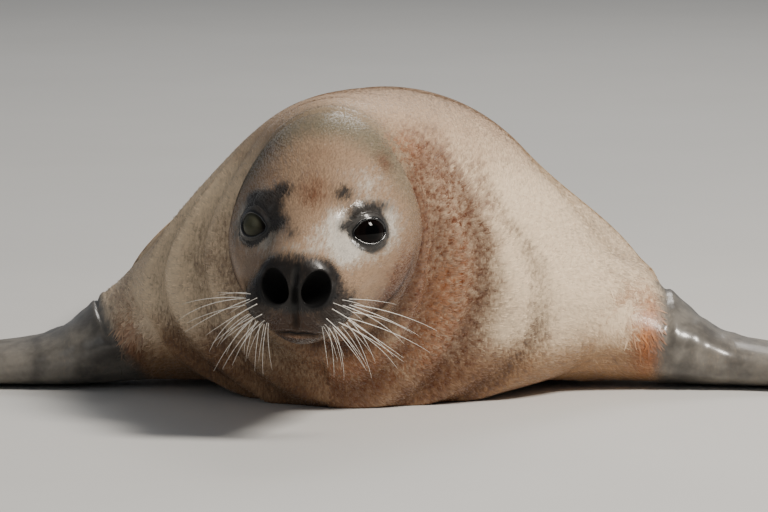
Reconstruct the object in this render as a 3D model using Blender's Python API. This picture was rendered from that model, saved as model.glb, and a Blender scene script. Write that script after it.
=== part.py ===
"""Harbor seal, life size, lying on its belly with the head raised and both fore flippers spread.

The animal faces -Y, and its left side is +X. It is lofted straight, nose at y = 0 and floor at z = 0,
then the neck is bent into the pose, the whole is parted into named pieces by thin plane cuts, and it is
moved so that the origin is the middle of its box at floor level. Run it with
blender --background --python part.py, or from the text editor. Units are metres.
"""

import math

import bmesh
import bpy
import numpy as np
from mathutils import Matrix, Vector

# ---------------------------------------------------------------- driving sizes
GAP = 0.0003  # clearance between pieces that touch
NOSE_HEIGHT = 0.160  # middle of the nostrils before the head is bent down
BODY_COLUMNS = 36  # faces round the body
HEAD_RING_STEP = 0.0120
TRUNK_RING_STEP = 0.060
BELLY_DIP = 0.0012  # how far flippers reach below the floor before everything is pressed flat

# Each row is one upright section of the straight body: distance behind the nose, half width, height of
# the widest point, top, bottom, how far the upper half narrows to the spine, and squareness of the belly.
SECTIONS = {
    "nose_tip": (0.000, 0.000, 0.160, 0.160, 0.160, 0.00, 2.0),
    "nose_front": (0.0040, 0.019, 0.158, 0.1765, 0.141, 0.05, 2.0),
    "nose_edge": (0.0135, 0.032, 0.152, 0.187, 0.121, 0.10, 2.0),
    "pad_front": (0.0235, 0.041, 0.146, 0.192, 0.110, 0.15, 1.9),
    "pads": (0.034, 0.0455, 0.144, 0.196, 0.103, 0.15, 1.7),
    "muzzle": (0.050, 0.0495, 0.146, 0.202, 0.098, 0.12, 1.75),
    "stop": (0.069, 0.055, 0.150, 0.212, 0.095, 0.10, 1.95),
    "eyes": (0.091, 0.066, 0.158, 0.229, 0.091, 0.08, 1.80),
    "cheeks": (0.125, 0.0785, 0.166, 0.250, 0.084, 0.06, 1.75),
    "ears": (0.158, 0.082, 0.170, 0.263, 0.066, 0.06, 1.80),
    "nape": (0.184, 0.085, 0.160, 0.268, 0.014, 0.06, 2.0),
    "neck": (0.212, 0.112, 0.122, 0.268, -0.022, 0.10, 2.1),
    "chest": (0.245, 0.160, 0.086, 0.266, -0.022, 0.14, 2.3),
    "shoulder_front": (0.300, 0.204, 0.070, 0.261, -0.016, 0.20, 2.5),
    "shoulder": (0.380, 0.232, 0.066, 0.256, -0.008, 0.26, 2.7),
    "trunk": (0.500, 0.238, 0.066, 0.249, -0.005, 0.28, 2.8),
    "belly": (0.700, 0.228, 0.066, 0.229, -0.005, 0.28, 2.8),
    "loin": (0.900, 0.192, 0.064, 0.201, -0.005, 0.22, 2.7),
    "hips": (1.080, 0.147, 0.060, 0.169, -0.004, 0.14, 2.6),
    "rump": (1.220, 0.106, 0.056, 0.137, -0.003, 0.08, 2.4),
    "ankles": (1.315, 0.079, 0.052, 0.110, 0.001, 0.04, 2.2),
    "tail_root": (1.360, 0.034, 0.055, 0.086, 0.026, 0.00, 2.0),
    "tail": (1.410, 0.023, 0.052, 0.066, 0.040, 0.00, 2.0),
    "tail_tip": (1.455, 0.000, 0.050, 0.050, 0.050, 0.00, 2.0),
}

# Swellings and hollows of the head: middle of the right-hand one, reach in x, y and z, and height.
# Each is mirrored to the other side.
RELIEF = {
    "whisker_pad": ((0.026, 0.017, 0.139), (0.0165, 0.020, 0.0135), 0.0115),
    "nostril_wing": ((0.024, 0.012, 0.166), (0.013, 0.014, 0.016), 0.0035),
    "chin": ((0.000, 0.022, 0.107), (0.018, 0.016, 0.011), 0.0030),
    "inner_eye_hollow": ((0.031, 0.068, 0.183), (0.013, 0.018, 0.013), -0.0070),
    "eye_swell": ((0.056, 0.085, 0.195), (0.021, 0.024, 0.019), 0.0048),
    "brow": ((0.038, 0.086, 0.209), (0.018, 0.020, 0.012), 0.0045),
    "cheek": ((0.062, 0.100, 0.138), (0.026, 0.032, 0.026), 0.0030),
    "flipper_root": ((0.236, 0.368, 0.076), (0.030, 0.060, 0.022), 0.0095),
}
# These are on one side only, because the head is drawn to the right and the left flipper reaches out.
# The animal's left is at positive x.
ONE_SIDED = {
    "left_shoulder": ((0.234, 0.400, 0.094), (0.040, 0.090, 0.020), 0.0090),
    "hollow_over_it": ((0.216, 0.380, 0.128), (0.060, 0.120, 0.032), -0.0085),
    "right_neck_to_flank": ((-0.165, 0.430, 0.200), (0.100, 0.105, 0.075), 0.0095),
    "right_neck_to_back": ((-0.040, 0.430, 0.250), (0.075, 0.100, 0.060), 0.0038),
    "flatter_right_side": ((-0.115, 0.500, 0.225), (0.075, 0.320, 0.055), -0.0040),
}

# The neck is drawn in, turned to the animal's right, and tilted.
NECK_FRONT, NECK_BACK = 0.200, 0.430
HEAD_PIVOT = (0.0, 0.210, 0.170)
HEAD_SHIFT = (-0.044, 0.0, 0.0)
HEAD_YAW, HEAD_PITCH, HEAD_ROLL = math.radians(-9.0), math.radians(8.0), math.radians(2.6)

EYE_RADIUS = 0.0205
EYE_CENTRE = (0.0393, 0.0920, 0.1840)

NOSTRIL_CENTRE = (0.0178, 0.002, 0.160)
NOSTRIL_RADII = (0.0134, 0.016, 0.0164)
NOSTRIL_LEAN = math.radians(16.0)

# Fore flipper, from inside the flank outwards: distance from the spine, middle of the chord behind the
# nose, half chord, half thickness.
FORE_FLIPPER = {
    "inside": (0.150, 0.365, 0.062, 0.048),
    "shoulder": (0.220, 0.366, 0.060, 0.045),
    "elbow": (0.257, 0.367, 0.055, 0.0370),
    "forearm": (0.285, 0.368, 0.051, 0.0260),
    "wrist": (0.310, 0.370, 0.050, 0.0215),
    "palm": (0.360, 0.374, 0.054, 0.0175),
    "knuckles": (0.410, 0.378, 0.057, 0.0130),
    "webs": (0.460, 0.382, 0.058, 0.0100),
    "tips": (0.505, 0.386, 0.055, 0.0070),
}
FORE_SWEEP = {1: -0.045, -1: 0.012}  # how far the hand leans forwards (negative) or back on each side
# Hind flipper, from inside the rump backwards: distance behind the nose, distance from the spine,
# half height, half thickness.
HIND_FLIPPER = {
    "inside": (1.270, 0.040, 0.044, 0.026),
    "ankle": (1.325, 0.047, 0.045, 0.024),
    "heel": (1.370, 0.052, 0.040, 0.0185),
    "sole": (1.430, 0.058, 0.046, 0.0130),
    "webs": (1.520, 0.067, 0.054, 0.0090),
    "tips": (1.610, 0.078, 0.058, 0.0060),
}
DIGITS = 5
DIGIT_RIDGE = 0.0022
FORE_REACH = (1.000, 0.985, 0.950, 0.900, 0.840)  # length of each digit, leading edge first
HIND_REACH = (1.000, 0.930, 0.890, 0.920, 0.985)  # the outer digits are the longest
FLIPPER_COLUMNS, FLIPPER_RINGS = 24, 10
# Claws grow out of the digits' ends: length, part of it outside, radius at the root.
CLAWS = {"fore": (0.034, 0.019, 0.0042), "hind": (0.020, 0.009, 0.0030)}
CLAW_DROOP = 0.10
EYE_FACES, EYE_BANDS = 16, 10

COLOURS = {  # base colour and roughness
    "coat": ((0.60, 0.47, 0.33), 0.75),
    "flipper_skin": ((0.22, 0.22, 0.21), 0.35),
    "claw": ((0.05, 0.045, 0.04), 0.40),
    "eye": ((0.012, 0.008, 0.008), 0.08),
}


# ---------------------------------------------------------------- shape functions
def monotone(x, y, at):
    """Cubic through the points (x, y) with no overshoot: each slope is the harmonic mean of its two
    neighbouring chords', or zero at a turning point."""
    x, y, at = (np.asarray(v, float) for v in (x, y, at))
    h = np.diff(x)
    chord = np.diff(y) / h
    slope = np.empty_like(y)
    slope[0], slope[-1] = chord[0], chord[-1]
    a, b = chord[:-1], chord[1:]
    same = a * b > 0
    w1, w2 = 2 * h[1:] + h[:-1], h[1:] + 2 * h[:-1]
    mean = (w1 + w2) / (w1 / np.where(same, a, 1) + w2 / np.where(same, b, 1))
    slope[1:-1] = np.where(same, mean, 0)
    k = np.clip(np.searchsorted(x, at, side="right") - 1, 0, len(h) - 1)
    t = (at - x[k]) / h[k]
    rise = y[k] * (1 + 2 * t) * (1 - t) ** 2 + y[k + 1] * t * t * (3 - 2 * t)
    return rise + h[k] * (slope[k] * t * (1 - t) ** 2 - slope[k + 1] * t * t * (1 - t))


def smoothstep(low, high, value):
    t = np.clip((value - low) / (high - low), 0, 1)
    return t * t * (3 - 2 * t)


def section_table():
    """The rows of SECTIONS as columns, with the length along the body's outline for each row."""
    rows = np.array(list(SECTIONS.values()))
    steps = np.linalg.norm(np.diff(rows[:, [0, 1, 3]], axis=0), axis=1)
    return np.concatenate([[0], np.cumsum(steps)]), rows


def ring_places():
    """Outline lengths of the rings: close on the head, wide on the trunk, with the end points kept."""
    length, rows = section_table()
    neck = length[list(SECTIONS).index("neck")]
    chest_end = neck + 0.12
    places = [0.0, 0.010, 0.020]
    while places[-1] < length[-1]:
        share = float(smoothstep(neck - 0.03, chest_end, places[-1]))
        places.append(places[-1] + HEAD_RING_STEP + share * (TRUNK_RING_STEP - HEAD_RING_STEP))
    places = np.array(places[:-1])
    return np.append(places * (length[-1] - 0.012) / places[-1], length[-1])


def body_rings(places, columns):
    """Points (ring, column, xyz) of the straight body. A section's upper half is an ellipse that narrows
    to the spine, and its lower half is a superellipse, which squares off towards the floor. The points
    of a ring are equally far apart, from the middle of the belly round by +X."""
    length, rows = section_table()
    y, w, mid, top, low, taper, square = (
        monotone(length, rows[:, k], places)[:, None] for k in range(7)
    )
    angle = np.linspace(0, 2 * math.pi, 721)[None, :]
    s, c = np.sin(angle), -np.cos(angle)
    up = np.clip(c, 0, 1)
    down = np.clip(-c, 0, 1)
    x = np.where(
        c >= 0,
        w * s * (1 - taper * smoothstep(0, 0.7, up)),
        w * np.sign(s) * np.abs(s) ** (2 / square),
    )
    z = np.where(c >= 0, mid + (top - mid) * up, mid - (mid - low) * down ** (2 / square))
    run = np.hypot(np.diff(x, axis=1), np.diff(z, axis=1)).cumsum(axis=1)
    run = np.concatenate([np.zeros((len(places), 1)), run], axis=1)
    rings = np.empty((len(places), columns, 3))
    for k in range(len(places)):
        at = np.linspace(0, run[k, -1], columns, endpoint=False)
        rings[k, :, 0] = np.interp(at, run[k], x[k])
        rings[k, :, 2] = np.interp(at, run[k], z[k])
    rings[:, :, 1] = y
    return rings


def grid_normals(rings):
    """Outward unit normals of a grid of rings, from the differences of neighbouring points."""
    along = np.gradient(rings, axis=0)
    around = np.roll(rings, -1, axis=1) - np.roll(rings, 1, axis=1)
    normal = np.cross(along, around)
    return normal / np.maximum(np.linalg.norm(normal, axis=2, keepdims=True), 1e-12)


def carve_head(rings):
    """Adds RELIEF and ONE_SIDED along the normals: each feature is a Gaussian of its own reach and height."""
    normal = grid_normals(rings)
    lift = np.zeros(rings.shape[:2])
    for centre, reach, height in RELIEF.values():
        for side in (1, -1) if centre[0] else (1,):
            away = (rings - np.array(centre) * (side, 1, 1)) / np.array(reach)
            lift += height * np.exp(-(away**2).sum(axis=2))
    for centre, reach, height in ONE_SIDED.values():
        away = (rings - np.array(centre)) / np.array(reach)
        lift += height * np.exp(-(away**2).sum(axis=2))
    return rings + normal * lift[:, :, None]


def head_turn():
    turn = Matrix.Rotation(HEAD_YAW, 3, "Z") @ Matrix.Rotation(HEAD_PITCH, 3, "X")
    return np.array(turn @ Matrix.Rotation(HEAD_ROLL, 3, "Y"))


def bend_neck(points):
    """Turns the head about HEAD_PIVOT and shifts it. Behind NECK_FRONT the bend fades to nothing."""
    points = np.asarray(points, float)
    pivot = np.array(HEAD_PIVOT)
    share = 1 - smoothstep(NECK_FRONT, NECK_BACK, points[..., 1:2])
    turned = (points - pivot) @ head_turn().T + pivot + np.array(HEAD_SHIFT)
    return points + share * (turned - points)


def digit_waves(across):
    """0 between digits and 1 on each digit's middle, for a place across the flipper from -1 to 1."""
    return 0.5 - 0.5 * np.cos((across + 1) * DIGITS * math.pi)


def flipper_rings(table, reach, rings, columns):
    """Points (ring, column, 3) of a flipper as (outwards, across, up) about its own middle line: an oval
    bar that flattens into a webbed hand. Each digit has its own reach and a low ridge, and the last
    rings close the edge."""
    rows = np.array(list(table.values()))
    share = np.append(np.linspace(0, 0.93, rings - 2), [0.98, 1.0])
    out = rows[0, 0] + (rows[-1, 0] - rows[0, 0]) * share
    middle, chord, thick = (monotone(rows[:, 0], rows[:, k], out) for k in (1, 2, 3))
    angle = np.linspace(0, 2 * math.pi, columns, endpoint=False) + math.pi / columns
    across, up = np.cos(angle), np.sin(angle)
    digit_at = 1 - (2 * np.arange(DIGITS) + 1) / DIGITS
    length = np.interp(across, digit_at[::-1], np.array(reach)[::-1])
    length = length - 0.035 * (1 - digit_waves(across))
    hand = smoothstep(0.45, 0.75, share)[:, None]
    full = rows[-1, 0] - rows[0, 0]
    x = rows[0, 0] + share[:, None] * full * (1 + hand * (length - 1)[None, :])
    ridge = DIGIT_RIDGE * (digit_waves(across) - 0.5)[None, :] * hand
    shape = np.sign(up) * np.abs(up) ** 0.8
    tip = np.sqrt(np.clip(1 - ((share - 0.93) / 0.072) ** 2, 0, 1))
    round_end = np.where(share > 0.93, tip, 1)[:, None]
    z = (thick[:, None] + ridge) * round_end * shape[None, :]
    y = chord[:, None] * across[None, :]
    return x, middle, y, z


def fore_flipper(side, rings=FLIPPER_RINGS, columns=FLIPPER_COLUMNS):
    """The fore flipper on one side, +1 for the animal's left, lying flat on the floor."""
    x, middle, chord, thick = flipper_rings(FORE_FLIPPER, FORE_REACH, rings, columns)
    rows = np.array(list(FORE_FLIPPER.values()))
    lift = np.interp(x, rows[:, 0], rows[:, 3]) - BELLY_DIP
    y = middle[:, None] - chord + FORE_SWEEP[side] * smoothstep(0.26, 0.50, x)
    return np.stack([side * x, y, thick + lift], axis=2)


def hind_flipper(side, rings=FLIPPER_RINGS, columns=FLIPPER_COLUMNS):
    """The hind flipper on one side, standing on its lower edge with the sole facing in."""
    y, middle, height, thick = flipper_rings(HIND_FLIPPER, HIND_REACH, rings, columns)
    rows = np.array(list(HIND_FLIPPER.values()))
    z = height + np.interp(y, rows[:, 0], rows[:, 2]) - BELLY_DIP
    return np.stack([side * (middle[:, None] + thick - 0.10 * z + 0.006), y, z], axis=2)


# ---------------------------------------------------------------- mesh helpers
def mesh_from_rings(name, rings, start=None, end=None):
    """A closed mesh through the rings. An end is a point where one is given. Otherwise it is closed by a
    strip from each point of the ring to the one opposite."""
    count, columns = rings.shape[:2]
    mesh = bmesh.new()
    verts = [mesh.verts.new(p) for p in rings.reshape(-1, 3)]
    for k in range(count - 1):
        for c in range(columns):
            d = (c + 1) % columns
            a, b = k * columns, (k + 1) * columns
            mesh.faces.new([verts[a + c], verts[a + d], verts[b + d], verts[b + c]])
    for ring, point in ((0, start), (count - 1, end)):
        loop = verts[ring * columns : (ring + 1) * columns]
        if point is None:
            for c in range(columns // 2 - 1):
                mesh.faces.new([loop[c], loop[c + 1], loop[columns - 2 - c], loop[columns - 1 - c]])
            continue
        tip = mesh.verts.new(point)
        for c in range(columns):
            mesh.faces.new([loop[c], loop[(c + 1) % columns], tip])
    bmesh.ops.recalc_face_normals(mesh, faces=mesh.faces)
    return object_from(name, mesh)


def object_from(name, mesh):
    data = bpy.data.meshes.new(name)
    mesh.to_mesh(data)
    mesh.free()
    made = bpy.data.objects.new(name, data)
    bpy.context.scene.collection.objects.link(made)
    return made


def boolean(target, cutter, operation):
    """Applies a Boolean at once and removes the second object."""
    modifier = target.modifiers.new("join", "BOOLEAN")
    modifier.operation, modifier.object = operation, cutter
    graph = bpy.context.evaluated_depsgraph_get()
    result = bpy.data.meshes.new_from_object(target.evaluated_get(graph))
    target.modifiers.clear()
    target.data = result
    bpy.data.objects.remove(cutter)


def cut(source, point, normal, front_name):
    """Parts source by a plane. What lies on the normal's side becomes a new object, and a GAP is left."""
    normal = Vector(normal).normalized()
    pieces = []
    for side in (1, -1):
        mesh = bmesh.new()
        mesh.from_mesh(source.data)
        plane = Vector(point) + normal * (side * GAP / 2)
        geometry = [*mesh.verts, *mesh.edges, *mesh.faces]
        cut_through = bmesh.ops.bisect_plane(
            mesh, geom=geometry, plane_co=plane, plane_no=normal * side, clear_inner=True
        )
        edges = [e for e in cut_through["geom_cut"] if isinstance(e, bmesh.types.BMEdge)]
        bmesh.ops.edgeloop_fill(mesh, edges=[e for e in edges if e.is_boundary])
        pieces.append(mesh)
    front, back = pieces
    back.to_mesh(source.data)
    back.free()
    return object_from(front_name, front)


def split_islands(source, names):
    """Makes an object of each separate body in source, named by the test that its middle passes."""
    mesh = bmesh.new()
    mesh.from_mesh(source.data)
    left = set(mesh.verts)
    islands = []
    while left:
        reached, frontier = set(), [left.pop()]
        while frontier:
            vert = frontier.pop()
            reached.add(vert)
            for edge in vert.link_edges:
                other = edge.other_vert(vert)
                if other in left:
                    left.discard(other)
                    frontier.append(other)
        islands.append([v.index for v in reached])
    mesh.free()
    made = []
    for island in islands:
        keep = set(island)
        part = bmesh.new()
        part.from_mesh(source.data)
        part.verts.ensure_lookup_table()
        bmesh.ops.delete(part, geom=[v for v in part.verts if v.index not in keep], context="VERTS")
        middle = sum((v.co for v in part.verts), Vector()) / len(part.verts)
        name = next(n for n, test in names.items() if test(middle))
        made.append(object_from(name, part))
    bpy.data.objects.remove(source)
    return made


def ellipsoid(name, centre, radii, turn=Matrix.Identity(3), segments=20, rings=12):
    mesh = bmesh.new()
    bmesh.ops.create_uvsphere(mesh, u_segments=segments, v_segments=rings, radius=1)
    shape = Matrix.Translation(centre) @ turn.to_4x4() @ Matrix.Diagonal((*radii, 1))
    bmesh.ops.transform(mesh, matrix=shape, verts=mesh.verts)
    return object_from(name, mesh)


def digit_line(rings, digit):
    """Middle points of one digit, ring by ring: halfway between the flipper's two faces."""
    columns = rings.shape[1]
    angle = np.linspace(0, 2 * math.pi, columns, endpoint=False) + math.pi / columns
    place = math.acos(1 - (2 * digit + 1) / DIGITS)
    line = [
        (np.interp(place, angle, axis) + np.interp(2 * math.pi - place, angle, axis)) / 2
        for axis in rings.transpose(0, 2, 1).reshape(-1, columns)
    ]
    return np.array(line).reshape(-1, 3)


def claw(name, end, along, length, outside, radius):
    """A curved cone that leaves a digit's end: length in all, of which the outside part shows."""
    share = np.array([0.0, 0.45, 0.80])
    sideways = np.cross(along, (0, 0, 1))
    sideways /= np.linalg.norm(sideways)
    over = np.cross(sideways, along)
    angle = np.linspace(0, 2 * math.pi, 6, endpoint=False)

    def middle(t):
        return end + along * (length * t - (length - outside)) - over * CLAW_DROOP * length * t * t

    rings = [
        middle(t) + radius * (1 - t) ** 0.6 * (
            np.cos(angle)[:, None] * sideways * 0.8 + np.sin(angle)[:, None] * over
        )
        for t in share
    ]
    return mesh_from_rings(name, np.array(rings), start=middle(0), end=middle(1.0))


def material(name, colour, roughness):
    made = bpy.data.materials.new(name)
    made.use_nodes = True
    shader = made.node_tree.nodes["Principled BSDF"]
    shader.inputs["Base Color"].default_value = (*colour, 1)
    shader.inputs["Roughness"].default_value = roughness
    shader.inputs["Metallic"].default_value = 0
    return made


# ---------------------------------------------------------------- the animal
def clear_scene():
    for obj in list(bpy.data.objects):
        bpy.data.objects.remove(obj)


def make_body():
    """Head, neck, trunk and tail as one loft, posed. The belly dips a little below the floor."""
    rings = body_rings(ring_places(), BODY_COLUMNS)
    rings[1:-1] = carve_head(rings)[1:-1]
    rings = bend_neck(rings)
    return mesh_from_rings("body", rings[1:-1], start=rings[0, 0], end=rings[-1, 0])


def add_flippers(body):
    for side in (1, -1):
        for rings in (fore_flipper(side), hind_flipper(side)):
            boolean(body, mesh_from_rings("flipper", rings), "UNION")


def press_flat(body):
    """Cuts off what dips below the floor, which leaves the flats that the animal lies on."""
    mesh = bmesh.new()
    mesh.from_mesh(body.data)
    geometry = [*mesh.verts, *mesh.edges, *mesh.faces]
    cut_through = bmesh.ops.bisect_plane(
        mesh, geom=geometry, plane_co=(0, 0, 0), plane_no=(0, 0, 1), clear_inner=True
    )
    edges = [e for e in cut_through["geom_cut"] if isinstance(e, bmesh.types.BMEdge)]
    bmesh.ops.edgeloop_fill(mesh, edges=[e for e in edges if e.is_boundary])
    mesh.to_mesh(body.data)
    mesh.free()


def cut_nostrils(body):
    for side in (1, -1):
        centre = bend_neck(np.array(NOSTRIL_CENTRE) * (side, 1, 1))
        turn = Matrix(head_turn()) @ Matrix.Rotation(side * NOSTRIL_LEAN, 3, "Y")
        boolean(body, ellipsoid("nostril", centre, NOSTRIL_RADII, turn), "DIFFERENCE")


def part_body(body):
    """Cuts the whole animal into its named parts, from the nose backwards."""
    turn = head_turn()
    muzzle = cut(body, bend_neck((0, 0.061, NOSE_HEIGHT)), turn @ (0, -1, 0), "muzzle")
    jaw = cut(muzzle, bend_neck((0, 0.040, 0.1165)), turn @ (0, -0.10, -1), "lower_jaw")
    head = cut(body, bend_neck((0, 0.188, NOSE_HEIGHT)), turn @ (0, -1, 0), "head")
    neck = cut(body, (0, 0.262, 0), (0, -1, 0), "neck")
    chest = cut(body, (0, 0.560, 0), (0, -1, 0), "chest")
    belly = cut(body, (0, 0.880, 0), (0, -1, 0), "belly")
    hips = cut(body, (0, 1.395, 0), (0, -1, 0), "hips")
    fins = {
        "tail": lambda middle: abs(middle.x) < 0.02,
        "hind_flipper_left": lambda middle: middle.x > 0,
        "hind_flipper_right": lambda middle: middle.x < 0,
    }
    made = split_islands(body, fins)
    for side, name in ((1, "fore_flipper_left"), (-1, "fore_flipper_right")):
        made.append(cut(chest, (side * 0.238, 0, 0), (side, 0, 0), name))
    return [muzzle, jaw, head, neck, chest, belly, hips, *made]


def add_eyes(head):
    """Each eyeball is a sphere deep in the head, in a socket that clears it by GAP."""
    eyes = []
    for side, name in ((1, "eye_left"), (-1, "eye_right")):
        centre = bend_neck(np.array(EYE_CENTRE) * (side, 1, 1))
        radii = np.array([EYE_RADIUS] * 3)
        socket = ellipsoid("socket", centre, radii * 1.008 + GAP, segments=EYE_FACES, rings=EYE_BANDS)
        boolean(head, socket, "DIFFERENCE")
        eyes.append(ellipsoid(name, centre, radii, segments=EYE_FACES, rings=EYE_BANDS))
    return eyes


def add_claws(flippers):
    """Five claws to a flipper. Each is let into the end of its digit with GAP all round."""
    claws = []
    for limb, shape in (("fore", fore_flipper), ("hind", hind_flipper)):
        length, outside, radius = CLAWS[limb]
        for side, word in ((1, "left"), (-1, "right")):
            flipper = flippers[f"{limb}_flipper_{word}"]
            for digit in range(DIGITS):
                line = digit_line(shape(side), digit)
                along = (line[-1] - line[-3]) / np.linalg.norm(line[-1] - line[-3])
                pocket = claw("pocket", line[-1], along, length + 3 * GAP, outside + GAP, radius + GAP)
                boolean(flipper, pocket, "DIFFERENCE")
                name = f"claw_{limb}_{word}_{digit + 1}"
                claws.append(claw(name, line[-1], along, length, outside, radius))
    return claws


def main():
    clear_scene()
    body = make_body()
    add_flippers(body)
    press_flat(body)
    cut_nostrils(body)
    parts = part_body(body)
    named = {part.name: part for part in parts}
    parts += add_eyes(named["head"])
    parts += add_claws(named)

    corners = np.array([v.co for part in parts for v in part.data.vertices])
    low, high = corners.min(axis=0), corners.max(axis=0)
    origin = Vector(((low[0] + high[0]) / 2, (low[1] + high[1]) / 2, low[2]))
    pieces = bpy.data.collections.new("seal")
    bpy.context.scene.collection.children.link(pieces)
    materials = {name: material(name, *look) for name, look in COLOURS.items()}
    for part in parts:
        part.data.transform(Matrix.Translation(-origin))
        bpy.context.scene.collection.objects.unlink(part)
        pieces.objects.link(part)
        kind = part.name.split("_")[0]
        slot = {"eye": "eye", "claw": "claw", "fore": "flipper_skin", "hind": "flipper_skin"}.get(kind, "coat")
        part.data.materials.clear()
        part.data.materials.append(materials[slot])


main()
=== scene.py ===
"""A harbor seal at life size, lying on its belly with the head raised and the fore flippers spread.

The skin is one closed surface over head, trunk and limbs. Eyes, claws and whiskers are separate pieces,
and the short coat lies over the skin as small tufts. All sizes are in metres.
"""

import math

import bpy
import numpy as np
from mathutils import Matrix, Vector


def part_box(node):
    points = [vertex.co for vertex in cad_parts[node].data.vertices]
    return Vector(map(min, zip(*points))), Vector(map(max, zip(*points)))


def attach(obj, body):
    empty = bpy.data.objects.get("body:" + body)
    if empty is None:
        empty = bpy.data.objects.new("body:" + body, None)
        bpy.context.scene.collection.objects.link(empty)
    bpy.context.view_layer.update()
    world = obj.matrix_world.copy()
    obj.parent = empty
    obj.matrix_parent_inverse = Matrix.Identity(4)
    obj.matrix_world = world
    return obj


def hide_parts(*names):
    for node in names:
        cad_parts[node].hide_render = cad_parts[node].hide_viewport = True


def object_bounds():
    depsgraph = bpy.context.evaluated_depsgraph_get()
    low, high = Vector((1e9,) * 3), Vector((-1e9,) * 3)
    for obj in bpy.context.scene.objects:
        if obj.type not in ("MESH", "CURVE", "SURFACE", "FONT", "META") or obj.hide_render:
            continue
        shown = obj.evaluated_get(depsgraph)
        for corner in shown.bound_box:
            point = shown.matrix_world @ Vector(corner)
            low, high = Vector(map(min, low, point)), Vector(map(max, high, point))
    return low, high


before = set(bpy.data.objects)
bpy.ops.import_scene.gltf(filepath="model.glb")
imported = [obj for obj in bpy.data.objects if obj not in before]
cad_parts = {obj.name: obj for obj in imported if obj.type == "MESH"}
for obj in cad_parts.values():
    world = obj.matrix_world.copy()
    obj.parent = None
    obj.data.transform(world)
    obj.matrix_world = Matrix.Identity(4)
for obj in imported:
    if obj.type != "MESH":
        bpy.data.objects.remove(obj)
solid_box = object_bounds()

# ------------------------------------------------------------------------------------------------------
# The body. A seal's body is one smooth spindle of blubber, flattened where it lies. It is worked out
# straight along +Y, nose at y = 0 and floor at z = 0, as upright sections joined by smooth curves.
# A row is one section: distance behind the nose, half width, height of the widest point, top, bottom,
# narrowing towards the spine, squareness of the belly.
body_sections = np.array([
    (0.000, 0.000, 0.160, 0.160, 0.160, 0.00, 2.0),  # tip of the nose
    (0.0040, 0.019, 0.158, 0.1765, 0.141, 0.05, 2.0),
    (0.0135, 0.032, 0.152, 0.187, 0.121, 0.10, 2.0),
    (0.0235, 0.041, 0.146, 0.192, 0.110, 0.15, 1.9),  # whisker pads
    (0.034, 0.0455, 0.144, 0.196, 0.103, 0.15, 1.7),
    (0.050, 0.0495, 0.146, 0.202, 0.098, 0.12, 1.75),
    (0.069, 0.055, 0.150, 0.212, 0.095, 0.10, 1.95),
    (0.091, 0.066, 0.158, 0.229, 0.091, 0.08, 1.80),  # eyes
    (0.125, 0.0785, 0.166, 0.250, 0.084, 0.06, 1.75),  # cheeks
    (0.158, 0.082, 0.170, 0.263, 0.066, 0.06, 1.80),
    (0.184, 0.085, 0.160, 0.268, 0.014, 0.06, 2.0),  # nape
    (0.212, 0.112, 0.122, 0.268, -0.022, 0.10, 2.1),
    (0.245, 0.160, 0.086, 0.266, -0.022, 0.14, 2.3),  # chest
    (0.300, 0.204, 0.070, 0.261, -0.016, 0.20, 2.5),
    (0.380, 0.232, 0.066, 0.256, -0.008, 0.26, 2.7),  # shoulders
    (0.500, 0.238, 0.066, 0.249, -0.005, 0.28, 2.8),
    (0.700, 0.228, 0.066, 0.229, -0.005, 0.28, 2.8),  # belly
    (0.900, 0.192, 0.064, 0.201, -0.005, 0.22, 2.7),
    (1.080, 0.147, 0.060, 0.169, -0.004, 0.14, 2.6),  # hips
    (1.220, 0.106, 0.056, 0.137, -0.003, 0.08, 2.4),
    (1.315, 0.079, 0.052, 0.110, 0.001, 0.04, 2.2),  # ankles
    (1.360, 0.034, 0.055, 0.086, 0.026, 0.00, 2.0),
    (1.410, 0.023, 0.052, 0.066, 0.040, 0.00, 2.0),  # tail
    (1.455, 0.000, 0.050, 0.050, 0.050, 0.00, 2.0),
])
body_columns = 182


def monotone(x, y, at):
    """Cubic through (x, y) with no overshoot: each slope is the weighted harmonic mean of its two
    neighbouring chords', or zero at a turning point."""
    h, chord = np.diff(x), np.diff(y) / np.diff(x)
    slope = np.concatenate([[chord[0]], np.zeros(len(x) - 2), [chord[-1]]])
    a, b = chord[:-1], chord[1:]
    same, w1, w2 = a * b > 0, 2 * h[1:] + h[:-1], h[1:] + 2 * h[:-1]
    mean = (w1 + w2) / (w1 / np.where(same, a, 1) + w2 / np.where(same, b, 1))
    slope[1:-1] = np.where(same, mean, 0)
    k = np.clip(np.searchsorted(x, at, side="right") - 1, 0, len(h) - 1)
    t = (at - x[k]) / h[k]
    rise = y[k] * (1 + 2 * t) * (1 - t) ** 2 + y[k + 1] * t * t * (3 - 2 * t)
    return rise + h[k] * (slope[k] * t * (1 - t) ** 2 - slope[k + 1] * t * t * (1 - t))


def smoothstep(low, high, value):
    """0 below low, 1 above high, and 3t^2 - 2t^3 between."""
    t = np.clip((value - low) / (high - low), 0, 1)
    return t * t * (3 - 2 * t)


def bump_at(points, centre, reach):
    """A Gaussian round centre: e to the minus squared distance, each axis measured in its reach."""
    return np.exp(-(((points - np.array(centre)) / np.array(reach)) ** 2).sum(-1))


def both_sides(points):
    """The points with the animal's right side folded over on to its left, where x is above 0."""
    return np.concatenate([np.abs(points[..., :1]), points[..., 1:]], axis=-1)


section_length = np.concatenate(
    [[0], np.cumsum(np.linalg.norm(np.diff(body_sections[:, [0, 1, 3]], axis=0), axis=1))]
)
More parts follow.
